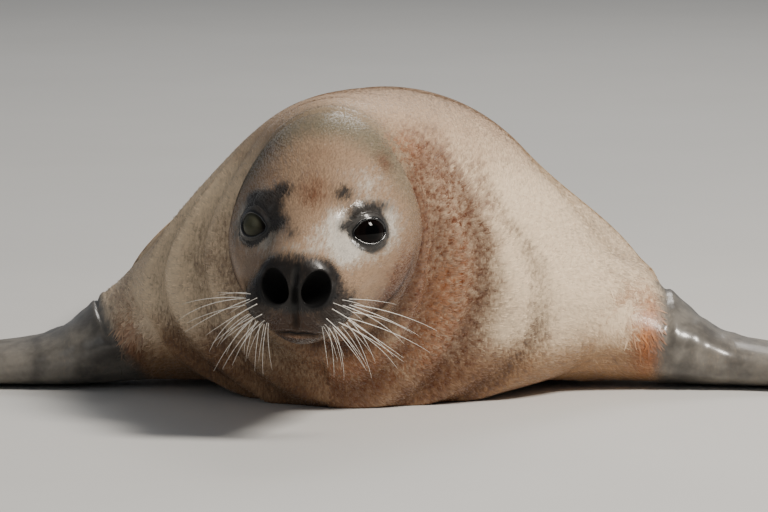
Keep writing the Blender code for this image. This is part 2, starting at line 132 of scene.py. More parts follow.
# Rings lie about 2 mm apart on the head, 3 mm on the neck, up to 10 mm on the trunk and 4 mm at the tail.
ring_step_at = np.interp(
    np.linspace(0, section_length[-1], 4000),
    section_length[[0, 9, 11, 14, 17, 19, 20, 23]],
    [0.0018, 0.0020, 0.0030, 0.0055, 0.0100, 0.0080, 0.0036, 0.0040],
)
ring_count_to = np.concatenate([[0], np.cumsum(section_length[-1] / 4000 / ring_step_at)])
body_rings = int(ring_count_to[-1])
ring_place = np.interp(
    np.linspace(0, ring_count_to[-1], body_rings + 1),
    ring_count_to,
    np.linspace(0, section_length[-1], 4001),
)[1:-1]


def straight_body(place, columns):
    """Rings of the straight body. The upper half of a section is an ellipse that narrows to the spine;
    the lower half is a superellipse, which squares off to the floor. Points are equally far apart."""
    y, w, mid, top, low, taper, square = (
        monotone(section_length, body_sections[:, k], place)[:, None] for k in range(7)
    )
    angle = np.linspace(0, 2 * math.pi, 1441)[None, :]
    s, c = np.sin(angle), -np.cos(angle)
    up, down = np.clip(c, 0, 1), np.clip(-c, 0, 1)
    above = w * s * (1 - taper * smoothstep(0, 0.7, up))
    below = w * np.sign(s) * np.abs(s) ** (2 / square)
    x = np.where(c >= 0, above, below)
    z = np.where(c >= 0, mid + (top - mid) * up, mid - (mid - low) * down ** (2 / square))
    run = np.hypot(np.diff(x, axis=1), np.diff(z, axis=1)).cumsum(axis=1)
    run = np.concatenate([np.zeros((len(place), 1)), run], axis=1)
    share = np.arange(columns) / columns
    points = np.stack(
        [
            [np.interp(share * r[-1], r, axis_row) for r, axis_row in zip(run, axis)]
            for axis in (x, np.broadcast_to(y, x.shape), z)
        ],
        axis=2,
    )
    return points, (share[None, :] - 0.5) * run[:, -1:]


def grid_normals(rings):
    """Outward unit normals: the cross product of the differences along and round the rings."""
    along = np.gradient(rings, axis=0)
    around = np.roll(rings, -1, axis=1) - np.roll(rings, 1, axis=1)
    normal = np.cross(along, around)
    return normal / np.maximum(np.linalg.norm(normal, axis=2, keepdims=True), 1e-12)


body, round_body = straight_body(ring_place, body_columns)
along_body = np.repeat(ring_place[:, None], body_columns, axis=1)
# Near the fore flippers the hair turns outwards and runs on over their roots.
along_body += 0.075 * bump_at(both_sides(body), (0.240, 0.364, 0.045), (0.085, 0.095, 0.085))

# ------------------------------------------------------------------------------------------------------
# The head's forms: whisker pads that hang over the lips, nostril wings, brows, cheeks, and the hollow
# between eye and muzzle. Each is a soft swelling or hollow along the skin's normal, on both sides.
# Every row is middle, reach in x, y and z, and height.
head_forms = [
    ((0.026, 0.017, 0.139), (0.0165, 0.020, 0.0135), 0.0115),  # whisker pad
    ((0.024, 0.012, 0.166), (0.013, 0.014, 0.016), 0.0035),  # nostril wing
    ((0.000, 0.022, 0.105), (0.022, 0.020, 0.014), 0.0020),  # chin
    ((0.031, 0.068, 0.183), (0.013, 0.018, 0.013), -0.0070),  # hollow before the eye
    ((0.056, 0.085, 0.195), (0.021, 0.024, 0.019), 0.0048),  # dome round the eye
    ((0.038, 0.086, 0.209), (0.018, 0.020, 0.012), 0.0045),  # brow
    ((0.062, 0.100, 0.138), (0.026, 0.032, 0.026), 0.0030),  # cheek
    ((0.236, 0.368, 0.076), (0.030, 0.060, 0.022), 0.0095),  # flesh at the root of the fore flipper
]
# These are on one side only, because the head is drawn to the right and the left flipper reaches out.
shoulder_forms = [
    ((0.234, 0.400, 0.094), (0.040, 0.090, 0.020), 0.0090),  # fuller left shoulder
    ((0.216, 0.380, 0.128), (0.060, 0.120, 0.032), -0.0085),  # the hollow over it
    ((-0.165, 0.430, 0.200), (0.100, 0.105, 0.075), 0.0095),  # the right neck runs on to the flank
    ((-0.040, 0.430, 0.250), (0.075, 0.100, 0.060), 0.0038),  # and to the back
    ((-0.115, 0.500, 0.225), (0.075, 0.320, 0.055), -0.0040),  # where the whole side is a little flatter
    ((0.085, 0.425, 0.240), (0.070, 0.075, 0.050), 0.0022),  # no dip behind the left shoulder
]
lift = np.zeros(body.shape[:2])
for middle, reach, height in head_forms:
    for side in (1, -1) if middle[0] else (1,):
        lift += height * bump_at(body, np.array(middle) * (side, 1, 1), reach)
for middle, reach, height in shoulder_forms:
    lift += height * bump_at(body, middle, reach)
body += grid_normals(body) * lift[:, :, None]

# Grooves are cut finer: the philtrum from the nose to the lip, the mouth, and the line above each pad.
def mouth_height(x, back):
    """The mouth's line: a small dip in the middle, then it falls to both sides and rises to the cheek."""
    dip = 0.0016 * np.exp(-((x / 0.0035) ** 2)) + 0.0022 * (1 - np.exp(-((x / 0.011) ** 2))) + 3 * x**2
    return 0.1175 - dip + 0.12 * np.clip(back - 0.045, 0, 1)


across, back, height = body[..., 0], body[..., 1], body[..., 2]
front_face = 1 - smoothstep(0.030, 0.060, back)
lift = -0.0024 * np.exp(-((across / 0.0024) ** 2)) * front_face * smoothstep(0.118, 0.128, height) * (
    1 - smoothstep(0.168, 0.182, height)
)
mouth_open = 1 - 0.75 * smoothstep(0.010, 0.026, np.abs(across))
mouth_gap = height - mouth_height(across, back)
lift -= 0.0026 * mouth_open * np.exp(-((mouth_gap / 0.0015) ** 2)) * (1 - smoothstep(0.045, 0.075, back))
lift += 0.0014 * np.exp(-(((mouth_gap - 0.0055) / 0.0032) ** 2)) * front_face
lift += 0.0004 * mouth_open * np.exp(-(((mouth_gap + 0.0036) / 0.0026) ** 2)) * front_face
pad_rim = np.hypot((np.abs(across) - 0.030) / 0.026, (height - 0.138) / 0.026)
lift -= 0.0010 * np.exp(-(((pad_rim - 1.05) / 0.16) ** 2)) * front_face * smoothstep(0.132, 0.145, height)
body += grid_normals(body) * lift[:, :, None]

# The neck is short and thick, so its skin rolls up behind the head. Each fold is a ring of its own:
# distance behind the nose at spine, flank and throat, depth, width, and how far it fades at the spine.
turn_round = round_body / np.abs(round_body).max(axis=1, keepdims=True)  # 0 at the spine, 1 at the belly
side_of = np.sign(turn_round)
turn_round = np.abs(turn_round)
neck_folds = [
    (0.176, 0.172, 0.160, 0.0055, 0.0055, 0.25),
    (0.200, 0.196, 0.178, 0.0048, 0.0090, 0.15),
    (0.232, 0.224, 0.200, 0.0060, 0.0080, 0.10),
    (0.272, 0.258, 0.222, 0.0042, 0.0100, 0.05),
]
lift, in_fold = np.zeros(body.shape[:2]), np.zeros(body.shape[:2])
for at_spine, at_flank, at_throat, depth, width, fade in neck_folds:
    where = np.interp(turn_round, [0, 0.5, 1.0], [at_spine, at_flank, at_throat])
    where += 0.003 * np.sin(5 * turn_round * side_of + 40 * depth)
    strength = fade + (1 - fade) * smoothstep(0.12, 0.45, turn_round)
    strength = strength * np.where(side_of > 0, 1.2, 0.75)
    gap = (body[..., 1] - where) / width
    lift -= depth * strength * (np.exp(-(gap**2)) - 0.35 * np.exp(-((gap - 1.6) ** 2)))
    in_fold = np.maximum(in_fold, strength * np.exp(-((0.7 * gap) ** 2)))
body += grid_normals(body) * lift[:, :, None]

# The skin lies inside the solids by the depth of the coat.
coat_depth = 0.0010 + 0.0020 * smoothstep(0.03, 0.30, body[..., 1])
body -= grid_normals(body) * coat_depth[:, :, None]


# ------------------------------------------------------------------------------------------------------
# The skin as one mesh: points with their place on the straight animal (rest), the coat's own distances
# round and along the body (lie), an unwrap (flat), and faces. Openings are cut in it, and the skin grows
# on from their rims.
skin = {}
rings, columns = body.shape[:2]
nose_tip = body[0][np.abs(body[0, :, 0]) < 0.0008].mean(axis=0)  # it lies in the groove
ends = np.array([nose_tip, [0, 1.4535, 0.050]])
skin["point"] = np.concatenate([body.reshape(-1, 3), ends])
skin["lie"] = np.concatenate(
    [
        np.stack([round_body, along_body], axis=2).reshape(-1, 2),
        [[0, 0], [0, section_length[-1]]],
    ]
)
# In the unwrap the body lies below, and each flipper has a strip above it.
body_width, body_height, strip_width, strip_height = 0.994, 0.87, 0.236, 0.112
flat = np.stack(
    np.broadcast_arrays(
        (body_width * np.arange(columns) / columns)[None, :],
        (0.003 + body_height * (np.arange(rings) + 0.5) / rings)[:, None],
    ),
    axis=2,
)
skin["flat"] = np.concatenate([flat.reshape(-1, 2), [[0.5, 0.0015], [0.5, 0.8745]]])


def ring_faces(rings, columns):
    """Faces of rings joined to a closed tube, with a pole before the first ring and one after the last.
    The two poles come after the rings' points. A triangle repeats its last corner. Each face looks along
    the way round crossed with the way onwards, which on the body is inwards."""
    column = np.arange(columns)
    ahead = (column + 1) % columns
    wall = np.stack([column, ahead, ahead + columns, column + columns], axis=1)
    walls = wall + (np.arange(rings - 1) * columns)[:, None, None]
    last, first_pole = (rings - 1) * columns, np.full(columns, rings * columns)
    fans = [
        np.stack([ahead, column, first_pole, first_pole], axis=1),
        np.stack([last + column, last + ahead, first_pole + 1, first_pole + 1], axis=1),
    ]
    return np.concatenate([walls.reshape(-1, 4), *fans])


skin["faces"] = ring_faces(rings, columns)
skin["share"] = np.zeros(len(skin["point"]))  # how far grown skin is from its rim
skin["region"] = np.zeros(len(skin["point"]))  # 0 body, 1 lid, 2 nostril, 3 fore flipper, 4 hind flipper


def point_normals(point, faces):
    """Unit normals of the points: the sum of the face normals, each as long as its face's area. On the
    body they point inwards, as its faces look."""
    a, b, c, d = (point[faces[:, k]] for k in range(4))
    face = np.cross(c - a, d - b)
    flat_face = faces[:, 2] == faces[:, 3]
    face[flat_face] = np.cross(b - a, c - a)[flat_face]
    normal = np.zeros_like(point)
    for k in range(4):
        np.add.at(normal, faces[:, k], face)
    return normal / np.maximum(np.linalg.norm(normal, axis=1, keepdims=True), 1e-15)


def smooth_loop(values, times):
    """Each value of a closed loop becomes a quarter of both neighbours and half of itself."""
    for _ in range(times):
        values = 0.5 * values + 0.25 * (np.roll(values, 1, axis=0) + np.roll(values, -1, axis=0))
    return values


def open_skin(skin, middle, right, up, outline, near):
    """Cuts an opening and returns the points round it, in order, with their angles and normals.

    A point is inside where its distance from middle, in the plane of right and up, is less than
    outline(angle), and its depth along the plane's axis is above near. The rim is moved on to the
    outline."""
    axis = np.cross(right, up)
    local = skin["point"] - middle
    u, v, w = local @ right, local @ up, local @ axis
    inside = (np.hypot(u, v) < outline(np.arctan2(v, u))) & (w > near)
    faces = skin["faces"]
    keep = ~inside[faces].any(axis=1)
    dropped, faces = faces[~keep], faces[keep]
    skin["faces"] = faces
    edges = np.concatenate([dropped[:, [k, (k + 1) % 4]] for k in range(4)])
    edges = edges[edges[:, 0] != edges[:, 1]]
    code = edges[:, 0] * 10_000_000 + edges[:, 1]
    back_code = edges[:, 1] * 10_000_000 + edges[:, 0]
    rim = edges[~np.isin(code, back_code)]
    follow = dict(zip(rim[:, 0].tolist(), rim[:, 1].tolist()))
    loop = [int(rim[0, 0])]
    while follow[loop[-1]] != loop[0]:
        loop.append(follow[loop[-1]])
    loop = np.array(loop)
    angle = np.unwrap(np.arctan2(v[loop], u[loop]))
    turn = np.sign(angle[-1] - angle[0])
    ramp = turn * 2 * math.pi * np.arange(len(loop)) / len(loop)
    angle = smooth_loop(angle - ramp, 6) + ramp
    depth = smooth_loop(w[loop], 3)
    radius = outline(angle) * 1.02
    skin["point"][loop] = (
        middle
        + (radius * np.cos(angle))[:, None] * right
        + (radius * np.sin(angle))[:, None] * up
        + depth[:, None] * axis
    )
    return loop, angle, point_normals(skin["point"], faces)[loop]


def grow_skin(skin, loop, rows, tip, region, lie=None):
    """Joins rows of new points, from the rim inwards or outwards, and closes them with a tip."""
    count, width = rows.shape[:2]
    first = len(skin["point"])
    share = (np.arange(count) + 1) / (count + 1)
    rim_flat = skin["flat"][loop]
    centre = rim_flat.mean(axis=0)
    flat = centre + (rim_flat - centre)[None] * (1 - share)[:, None, None]
    if lie is None:
        rim_lie = skin["lie"][loop]
        lie = rim_lie[None] + (rim_lie.mean(axis=0) - rim_lie)[None] * share[:, None, None]
    skin["point"] = np.concatenate([skin["point"], rows.reshape(-1, 3), [tip]])
    skin["flat"] = np.concatenate([skin["flat"], flat.reshape(-1, 2), [centre]])
    skin["lie"] = np.concatenate([skin["lie"], lie.reshape(-1, 2), [lie[-1].mean(axis=0)]])
    skin["region"] = np.concatenate([skin["region"], np.full(count * width + 1, region)])
    skin["share"] = np.concatenate([skin["share"], np.repeat(share, width), [1.0]])
    ids = np.concatenate([loop[None], first + np.arange(count * width).reshape(count, width)])
    a, b = ids, np.roll(ids, -1, axis=1)
    sides = np.stack([a[:-1], b[:-1], b[1:], a[1:]], axis=2).reshape(-1, 4)
    end = np.full(width, first + count * width)
    fan = np.stack([a[-1], b[-1], end, end], axis=1)
    skin["faces"] = np.concatenate([skin["faces"], sides, fan])
    return ids


def hermite(p0, t0, p1, t1, share):
    """The cubic that leaves p0 along t0 and arrives at p1 along t1, at each share of the way."""
    s = share[:, None, None]
    return (
        (1 + 2 * s) * (1 - s) ** 2 * p0
        + s * (1 - s) ** 2 * t0
        + s * s * (3 - 2 * s) * p1
        - s * s * (1 - s) * t1
    )


def unit(v):
    v = np.asarray(v, float)
    return v / np.linalg.norm(v, axis=-1, keepdims=True)


# ------------------------------------------------------------------------------------------------------
# The eyelids: thick, dark, wet rims on a large round eye. The skin is opened round each eye and drawn
# over the ball, with one crease above and two below, then rolled over the rim to the ball's surface.
eye_radius = 0.0205
eye_middle = np.array([0.0393, 0.0920, 0.1840])
eye_gaze = unit([0.60, -0.74, 0.30])
socket_radius = 0.0240
lid_openings = {1: (31, 29, 42), -1: (28, 30, 34)}  # degrees over, under and behind the ball's middle
eye_frames, lid_rings = {}, {}
for side in (1, -1):
    ball, axis = eye_middle * (side, 1, 1), eye_gaze * (side, 1, 1)
    right = unit(np.cross((0, 0, 1), axis))
    up = np.cross(axis, right)
    eye_frames[side] = (ball, right, up, axis)
    loop, angle, normal = open_skin(skin, ball, right, up, lambda a: socket_radius + 0 * a, 0.0)
    outward = np.cos(angle)[:, None] * right + np.sin(angle)[:, None] * up
    towards_nose = np.cos(angle) * -side  # 1 at the inner corner
    half_above, half_below, half_behind = lid_openings[side]
    half_height = np.where(np.sin(angle) > 0, half_above, half_below)
    half_width = np.where(towards_nose > 0, 42, half_behind)
    open_angle = np.radians(
        1 / np.sqrt((np.cos(angle) / half_width) ** 2 + (np.sin(angle) / half_height) ** 2)
        + 4.0 * np.exp(-(((1 - towards_nose) / 0.05) ** 2))
        + 1.5 * np.exp(-(((1 + towards_nose) / 0.05) ** 2))
    )

    def on_ball(turned, over):
        """Points over the ball at an angle from its axis: radius times sine outwards, cosine forwards."""
        reach = eye_radius + over
        return ball + reach * (np.sin(turned)[:, None] * outward + np.cos(turned)[:, None] * axis)

    lid = on_ball(open_angle, 0.0015)
    rim_tangent = -unit(np.cos(open_angle)[:, None] * outward - np.sin(open_angle)[:, None] * axis)
    inward = -outward + (outward * normal).sum(1)[:, None] * normal
    span = np.linalg.norm(lid - skin["point"][loop], axis=1)[:, None]
    rows = hermite(skin["point"][loop], unit(inward) * span, lid, rim_tangent * span, np.arange(1, 17) / 16)
    share = (np.arange(1, 17) / 16)[:, None]
    below, above = np.clip(-np.sin(angle), 0, 1), np.clip(np.sin(angle), 0, 1)
    crease = -0.0009 * above * np.exp(-(((share - 0.52) / 0.11) ** 2))
    crease = crease - 0.0005 * below * np.exp(-(((share - 0.74) / 0.07) ** 2))
    crease = crease - 0.0005 * below * np.exp(-(((share - 0.44) / 0.08) ** 2))
    rows += crease[:, :, None] * unit(rows - ball)
    edge = [
        on_ball(open_angle - math.radians(1.6), 0.0013),
        on_ball(open_angle - math.radians(2.6), 0.0006),
        on_ball(open_angle - math.radians(2.8), -0.0004),
        on_ball(open_angle - math.radians(1.0), -0.0020),
    ]
    rows = np.concatenate([rows, np.array(edge)])
    lid_rings[side] = grow_skin(skin, loop, rows, ball + axis * (eye_radius - 0.006), 1)

# ------------------------------------------------------------------------------------------------------
# The nostrils: two tall ovals in a V, open and dark. The rim flares a little, then the passage turns in
# towards the middle and down.
nostril_middle = np.array([0.0180, 0.0052, 0.1600])
nostril_lean = math.radians(20)
nostril_axis = unit([0.30, -0.92, 0.24])
for side in (1, -1):
    middle, axis = nostril_middle * (side, 1, 1), nostril_axis * (side, 1, 1)
    level = unit(np.cross((0, 0, 1), axis))
    rise = np.cross(axis, level)
    lean = side * nostril_lean
    right = math.cos(lean) * level - math.sin(lean) * rise
    up = math.sin(lean) * level + math.cos(lean) * rise

    def outline(a):
        """An oval, one over the root of the sum of the two squared terms, made fuller below."""
        oval = 1 / np.sqrt((np.cos(a) / 0.0130) ** 2 + (np.sin(a) / 0.0160) ** 2)
        return oval * (1 - 0.05 * np.sin(a) + 0.07 * np.sin(a) ** 2 * (np.sin(a) < 0))

    loop, angle, normal = open_skin(skin, middle, right, up, outline, -0.012)
    rim = skin["point"][loop]
    rim_middle = rim.mean(axis=0)
    passage = [
        (0.96, -0.0006, 0.0),
        (0.91, -0.0004, 0.0),
        (0.86, 0.0006, 0.0),
        (0.80, 0.0024, 0.04),
        (0.74, 0.0050, 0.10),
        (0.66, 0.0080, 0.18),
        (0.56, 0.0110, 0.28),
        (0.42, 0.0135, 0.36),
        (0.24, 0.0150, 0.42),
    ]
    pull = -side * level * 0.010 - rise * 0.012
    rows = np.array([rim_middle + (rim - rim_middle) * s - axis * d + pull * p for s, d, p in passage])
    grow_skin(skin, loop, rows, rim_middle - axis * 0.0155 + pull * 0.45, 2)

# ------------------------------------------------------------------------------------------------------
# The pose. The seal looks ahead with the head drawn in, turned a little to its right and tilted. The
# head turns about a point in the neck, and the turn fades out over the shoulders.
neck_front, neck_back = 0.200, 0.430
head_pivot = np.array([0.0, 0.210, 0.170])
head_shift = np.array([-0.044, 0.0, 0.0])
yaw, pitch, roll = math.radians(-9.0), math.radians(8.0), math.radians(2.6)
turn_z = np.array([[math.cos(yaw), -math.sin(yaw), 0], [math.sin(yaw), math.cos(yaw), 0], [0, 0, 1]])
turn_x = np.array(
    [[1, 0, 0], [0, math.cos(pitch), -math.sin(pitch)], [0, math.sin(pitch), math.cos(pitch)]]
)
turn_y = np.array([[math.cos(roll), 0, math.sin(roll)], [0, 1, 0], [-math.sin(roll), 0, math.cos(roll)]])
head_turn = turn_z @ turn_x @ turn_y


def bend_neck(point):
    """Each point moves by a share of the head's turn and shift: all of it on the head, none behind."""
    point = np.asarray(point, float)
    share = 1 - smoothstep(neck_front, neck_back, point[..., 1:2])
    return point + share * ((point - head_pivot) @ head_turn.T + head_pivot + head_shift - point)


skin["rest"] = skin["point"].copy()
skin["point"] = bend_neck(skin["point"])


# ------------------------------------------------------------------------------------------------------
# The flippers. The fore pair lies flat, spread to both sides; the hind pair stands on its lower edge
# behind the tail. Each is an oval bar that flattens into five webbed digits, and grows out of an opening
# in the body so that the flesh runs on smoothly. Rows: distance out, middle of the chord, half chord,
# half thickness for the fore flipper; distance back, distance from the spine, half height, half
# thickness for the hind one.
fore_table = np.array([
    (0.150, 0.365, 0.062, 0.048),
    (0.220, 0.366, 0.060, 0.045),
    (0.257, 0.367, 0.055, 0.0370),
    (0.285, 0.368, 0.051, 0.0260),
    (0.310, 0.370, 0.050, 0.0215),
    (0.360, 0.374, 0.054, 0.0175),
    (0.410, 0.378, 0.057, 0.0130),
    (0.460, 0.382, 0.058, 0.0100),
    (0.505, 0.386, 0.055, 0.0070),
])
fore_sweep = {1: -0.045, -1: 0.012}
hind_table = np.array([
    (1.270, 0.040, 0.044, 0.026),
    (1.325, 0.047, 0.045, 0.024),
    (1.370, 0.052, 0.040, 0.0185),
    (1.430, 0.058, 0.046, 0.0130),
    (1.520, 0.067, 0.054, 0.0090),
    (1.610, 0.078, 0.058, 0.0060),
])
fore_reach = np.array([1.000, 0.985, 0.950, 0.900, 0.840])
hind_reach = np.array([1.000, 0.930, 0.890, 0.920, 0.985])
hair_on_flipper = 0.0007
round_from = 0.93  # the share of a flipper's length from which its end rounds off


# One deep crease, two soft rolls and a shallow crease run across the root of the fore flipper, where it
# bends back. A row is height, distance outside the crease, and width.
root_folds = [
    (-0.0036, 0.0, 0.0027),
    (0.0016, -0.0055, 0.0035),
    (0.0012, 0.0065, 0.0045),
    (-0.0010, -0.0120, 0.0030),
]


def fore_crease(x, z):
    """Distance from the spine where the fore flipper creases against the body; it slants on the right."""
    return np.where(x > 0, 0.2385 + 0.04 * z, 0.2115 + 0.58 * z)


def digit_waves(across):
    """0 between digits and 1 on the middle of each, for a place across the flipper from -1 to 1."""
    return 0.5 - 0.5 * np.cos((across + 1) * 5 * math.pi)


def flipper(table, reach, share, angle):
    """Distance out, middle, offset across and offset through the flipper for rows of shares and angles.
    The section is cosine across and sine through, and each digit has a low ridge and its own reach."""
    out = table[0, 0] + (table[-1, 0] - table[0, 0]) * share
    middle, chord, thick = (monotone(table[:, 0], table[:, k], out)[:, None] for k in (1, 2, 3))
    across, through = np.cos(angle)[None, :], np.sin(angle)[None, :]
    digit_at = 1 - (2 * np.arange(5) + 1) / 5
    length = np.interp(across, digit_at[::-1], reach[::-1]) - 0.035 * (1 - digit_waves(across))
    hand = smoothstep(0.45, 0.75, share)[:, None]
    full = table[-1, 0] - table[0, 0]
    x = table[0, 0] + share[:, None] * full * (1 + hand * (length - 1))
    bone = np.abs(np.sin((across + 1) * 2.5 * math.pi)) ** 1.5
    ridge = 0.0022 * (digit_waves(across) - 0.5) * hand + 0.0007 * (bone - 0.6) * hand
    tip = np.sqrt(np.clip(1 - ((share - round_from) / 0.072) ** 2, 0, 1))
    round_end = np.where(share > round_from, tip, 1)[:, None]
    thick = (thick - hair_on_flipper + ridge) * round_end
    through = thick * np.sign(through) * np.abs(through) ** 0.8
    return x, middle, (chord - hair_on_flipper) * across, through


def fore_points(side, share, angle):
    x, middle, across, through = flipper(fore_table, fore_reach, share, angle)
    lift = np.interp(x, fore_table[:, 0], fore_table[:, 3]) - 0.0012
    y = middle - across + fore_sweep[side] * smoothstep(0.26, 0.50, x)
    return np.stack([side * x, y, through + lift], axis=2)


def hind_points(side, share, angle):
    y, middle, across, through = flipper(hind_table, hind_reach, share, angle)
    z = across + np.interp(y, hind_table[:, 0], hind_table[:, 2]) - 0.0012
    return np.stack([side * (middle + through - 0.10 * z + 0.006), y, z], axis=2)


strip_of = np.full((len(skin["point"]), 2), np.nan)  # a flipper's own place in the unwrap
poles = [rings * columns, rings * columns + 1]
flipper_roots = {
    # The opening: its middle, its direction across, half axes, depth. Then the share of the flipper where
    # it is free of the body, its rows before and after that, and how much it leans out, right and left.
    "fore": ((0.20, 0.364, 0.047), lambda side: (0.0, side, 0.0), (0.066, 0.042), -0.05,
             0.36, 26, 34, (0.85, 1.3)),
    "hind": ((0.052, 1.330, 0.047), lambda side: (-1.0, 0.0, 0.0), (0.0205, 0.041), -0.03,
             0.33, 9, 40, (0.6, 0.6)),
}
for kind, shape in (("fore", fore_points), ("hind", hind_points)):
    root, way_across, half, near, free, blend_rows, free_rows, lean_out = flipper_roots[kind]
    for side in (1, -1):
        middle = np.array(root) * (side, 1, 1)
        right, up = np.array(way_across(side)), np.array([0.0, 0.0, 1.0])

        def outline(a):
            """An ellipse: one over the root of the sum of the squared cosine and sine terms."""
            return 1 / np.sqrt((np.cos(a) / half[0]) ** 2 + (np.sin(a) / half[1]) ** 2)

        loop, angle, normal = open_skin(skin, middle, right, up, outline, near)
        level, upright = -side * np.cos(angle) / half[0], np.sin(angle) / half[1]
        turned = np.arctan2(upright, level) if kind == "fore" else np.arctan2(level, upright)
        share = np.concatenate(
            [np.linspace(free, round_from, free_rows), [0.95, 0.97, 0.985, 0.995, 1.0]]
        )
        body_rows = shape(side, share, turned)
        leave = body_rows[1] - body_rows[0]
        start_point = skin["point"][loop]
        span = np.linalg.norm(body_rows[0] - start_point, axis=1)[:, None]
        axis = np.cross(right, up)
        outward = unit(np.cos(angle)[:, None] * right + np.sin(angle)[:, None] * up)
        into = -outward + (outward * normal).sum(1)[:, None] * normal
        into = unit(unit(into) + lean_out[side > 0] * axis)
        # The tangents are nine tenths of the gap long, and the rows crowd towards the flipper.
        blend = hermite(
            start_point, into * span * 0.9, body_rows[0], unit(leave) * span * 0.9,
            1 - (1 - np.arange(1, blend_rows) / blend_rows) ** 1.4,
        )
        rows = np.concatenate([blend, body_rows])
        if kind == "fore":
            # The folds fade out on the floor and lie across the flipper's section.
            out, high = side * rows[..., 0], rows[..., 2]
            gap = out - fore_crease(rows[..., 0], high)
            fold = 0
            for height, at, width in root_folds:
                fold = fold + height * np.exp(-(((gap - at) / width) ** 2))
            ripple = np.sin((out - 0.3 * rows[..., 1]) * math.tau / 0.021 + 1.3 * side)
            fold += 0.0008 * ripple * smoothstep(0.255, 0.270, out) * (1 - smoothstep(0.290, 0.330, out))
            through = rows - rows.mean(axis=1, keepdims=True)
            through[..., 0] = 0
            through[..., 1] *= 0.5
            rows += (fold * smoothstep(0.004, 0.020, high))[..., None] * unit(through + 1e-9)
        out = rows @ axis
        run = np.cumsum(np.linalg.norm(np.diff(rows, axis=0, prepend=start_point[None]), axis=2), axis=0)
        keep_lie = skin["lie"][loop, 1]
        keep_lie = keep_lie.mean() + (keep_lie - keep_lie.mean()) * np.exp(-run / 0.06)
        lie = np.stack([np.broadcast_to(turned * 0.035, out.shape), run + keep_lie], axis=2)
        tip = rows[-1].mean(axis=0)
        before = len(skin["point"])
        grow_skin(skin, loop, rows, tip, 3 if kind == "fore" else 4, lie)
        skin["rest"] = np.concatenate([skin["rest"], skin["point"][before:]])
        count, width = rows.shape[:2]
        corner = 0.25 * (2 * (kind == "hind") + (side < 0))
        up_strip = 0.883 + strip_height * np.arange(count + 1)[:, None] / (count + 1)
        along_strip = corner + 0.004 + strip_width * np.arange(width)[None] / width
        strip = np.stack(np.broadcast_arrays(along_strip, up_strip), axis=2)
        strip_of = np.concatenate([strip_of, np.full((len(skin["point"]) - before, 2), np.nan)])
        strip_of[loop] = strip[0]
        strip_of[before:-1] = strip[1:].reshape(-1, 2)
        strip_of[-1] = (corner + 0.12, 0.997)
        poles.append(len(strip_of) - 1)

# The join of body and fore flipper is evened out: near the rim every point moves towards the mean of
# its neighbours.
off_rim = np.hypot((skin["rest"][:, 1] - 0.364) / 0.066, (skin["rest"][:, 2] - 0.047) / 0.042) - 1.02
even = np.exp(-((off_rim / 0.22) ** 2)) * smoothstep(0.17, 0.20, np.abs(skin["rest"][:, 0]))
even = 0.6 * (even * (1 - smoothstep(0.232, 0.245, np.abs(skin["rest"][:, 0]))))[:, None]
edges = np.concatenate([skin["faces"][:, [k, (k + 1) % 4]] for k in range(4)])
edges = edges[(edges[:, 0] != edges[:, 1]) & (even[edges[:, 0], 0] > 0.01)]
beside = np.bincount(edges[:, 0], minlength=len(even))[:, None].clip(1)
evening_rounds = 14
for _ in range(evening_rounds):
    mean = np.stack(
        [np.bincount(edges[:, 0], skin["point"][edges[:, 1], k], len(even)) for k in range(3)], axis=1
    ) / beside
    skin["point"] += even * (mean - skin["point"]) * (even > 0.01)

# What lies on the floor is flat, and everything moves from the straight animal's frame to the model's.
low, high = (np.array(corner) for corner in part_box("eye_left"))
origin = bend_neck(eye_middle) - (low + high) / 2
floor_gap = 0.0003
skin["point"][:, 2] = np.maximum(skin["point"][:, 2], floor_gap)
skin["point"] = skin["point"] - origin


def mesh_piece(name, point, faces, flat=None, smooth=True):
    """A mesh object from points and faces of four corners, where a triangle repeats its last corner. The
    unwrap is given for each corner of each face."""
    three = faces[:, 2] == faces[:, 3]
    order = np.concatenate([np.flatnonzero(~three), np.flatnonzero(three)])
    four_count, three_count = int((~three).sum()), int(three.sum())
    corners = np.concatenate([faces[~three].ravel(), faces[three][:, :3].ravel()])
    starts = np.concatenate(
        [4 * np.arange(four_count), 4 * four_count + 3 * np.arange(three_count)]
    )
    mesh = bpy.data.meshes.new(name)
    mesh.vertices.add(len(point))
    mesh.vertices.foreach_set("co", np.asarray(point, np.float32).ravel())
    mesh.loops.add(len(corners))
    mesh.loops.foreach_set("vertex_index", corners.astype(np.int32))
    mesh.polygons.add(len(order))
    mesh.polygons.foreach_set("loop_start", starts.astype(np.int32))
    if flat is not None:
        layer = mesh.uv_layers.new(name="OFBake")
        spread = np.concatenate([flat[~three].reshape(-1, 2), flat[three][:, :3].reshape(-1, 2)])
        layer.uv.foreach_set("vector", spread.astype(np.float32).ravel())
    mesh.update(calc_edges=True)
    mesh.polygons.foreach_set("use_smooth", np.full(len(order), smooth))
    piece = bpy.data.objects.new(name, mesh)
    bpy.context.scene.collection.objects.link(piece)
    return piece


def mark_points(piece, name, values):
    """Keeps one number, or three or four, for each point of a piece, where its material reads them."""
    values = np.asarray(values, np.float32)
    kind, slot = {1: ("FLOAT", "value"), 3: ("FLOAT_VECTOR", "vector"), 4: ("FLOAT_COLOR", "color")}[
        1 if values.ndim == 1 else values.shape[1]
    ]
    piece.data.attributes.new(name, kind, "POINT").data.foreach_set(slot, values.ravel())


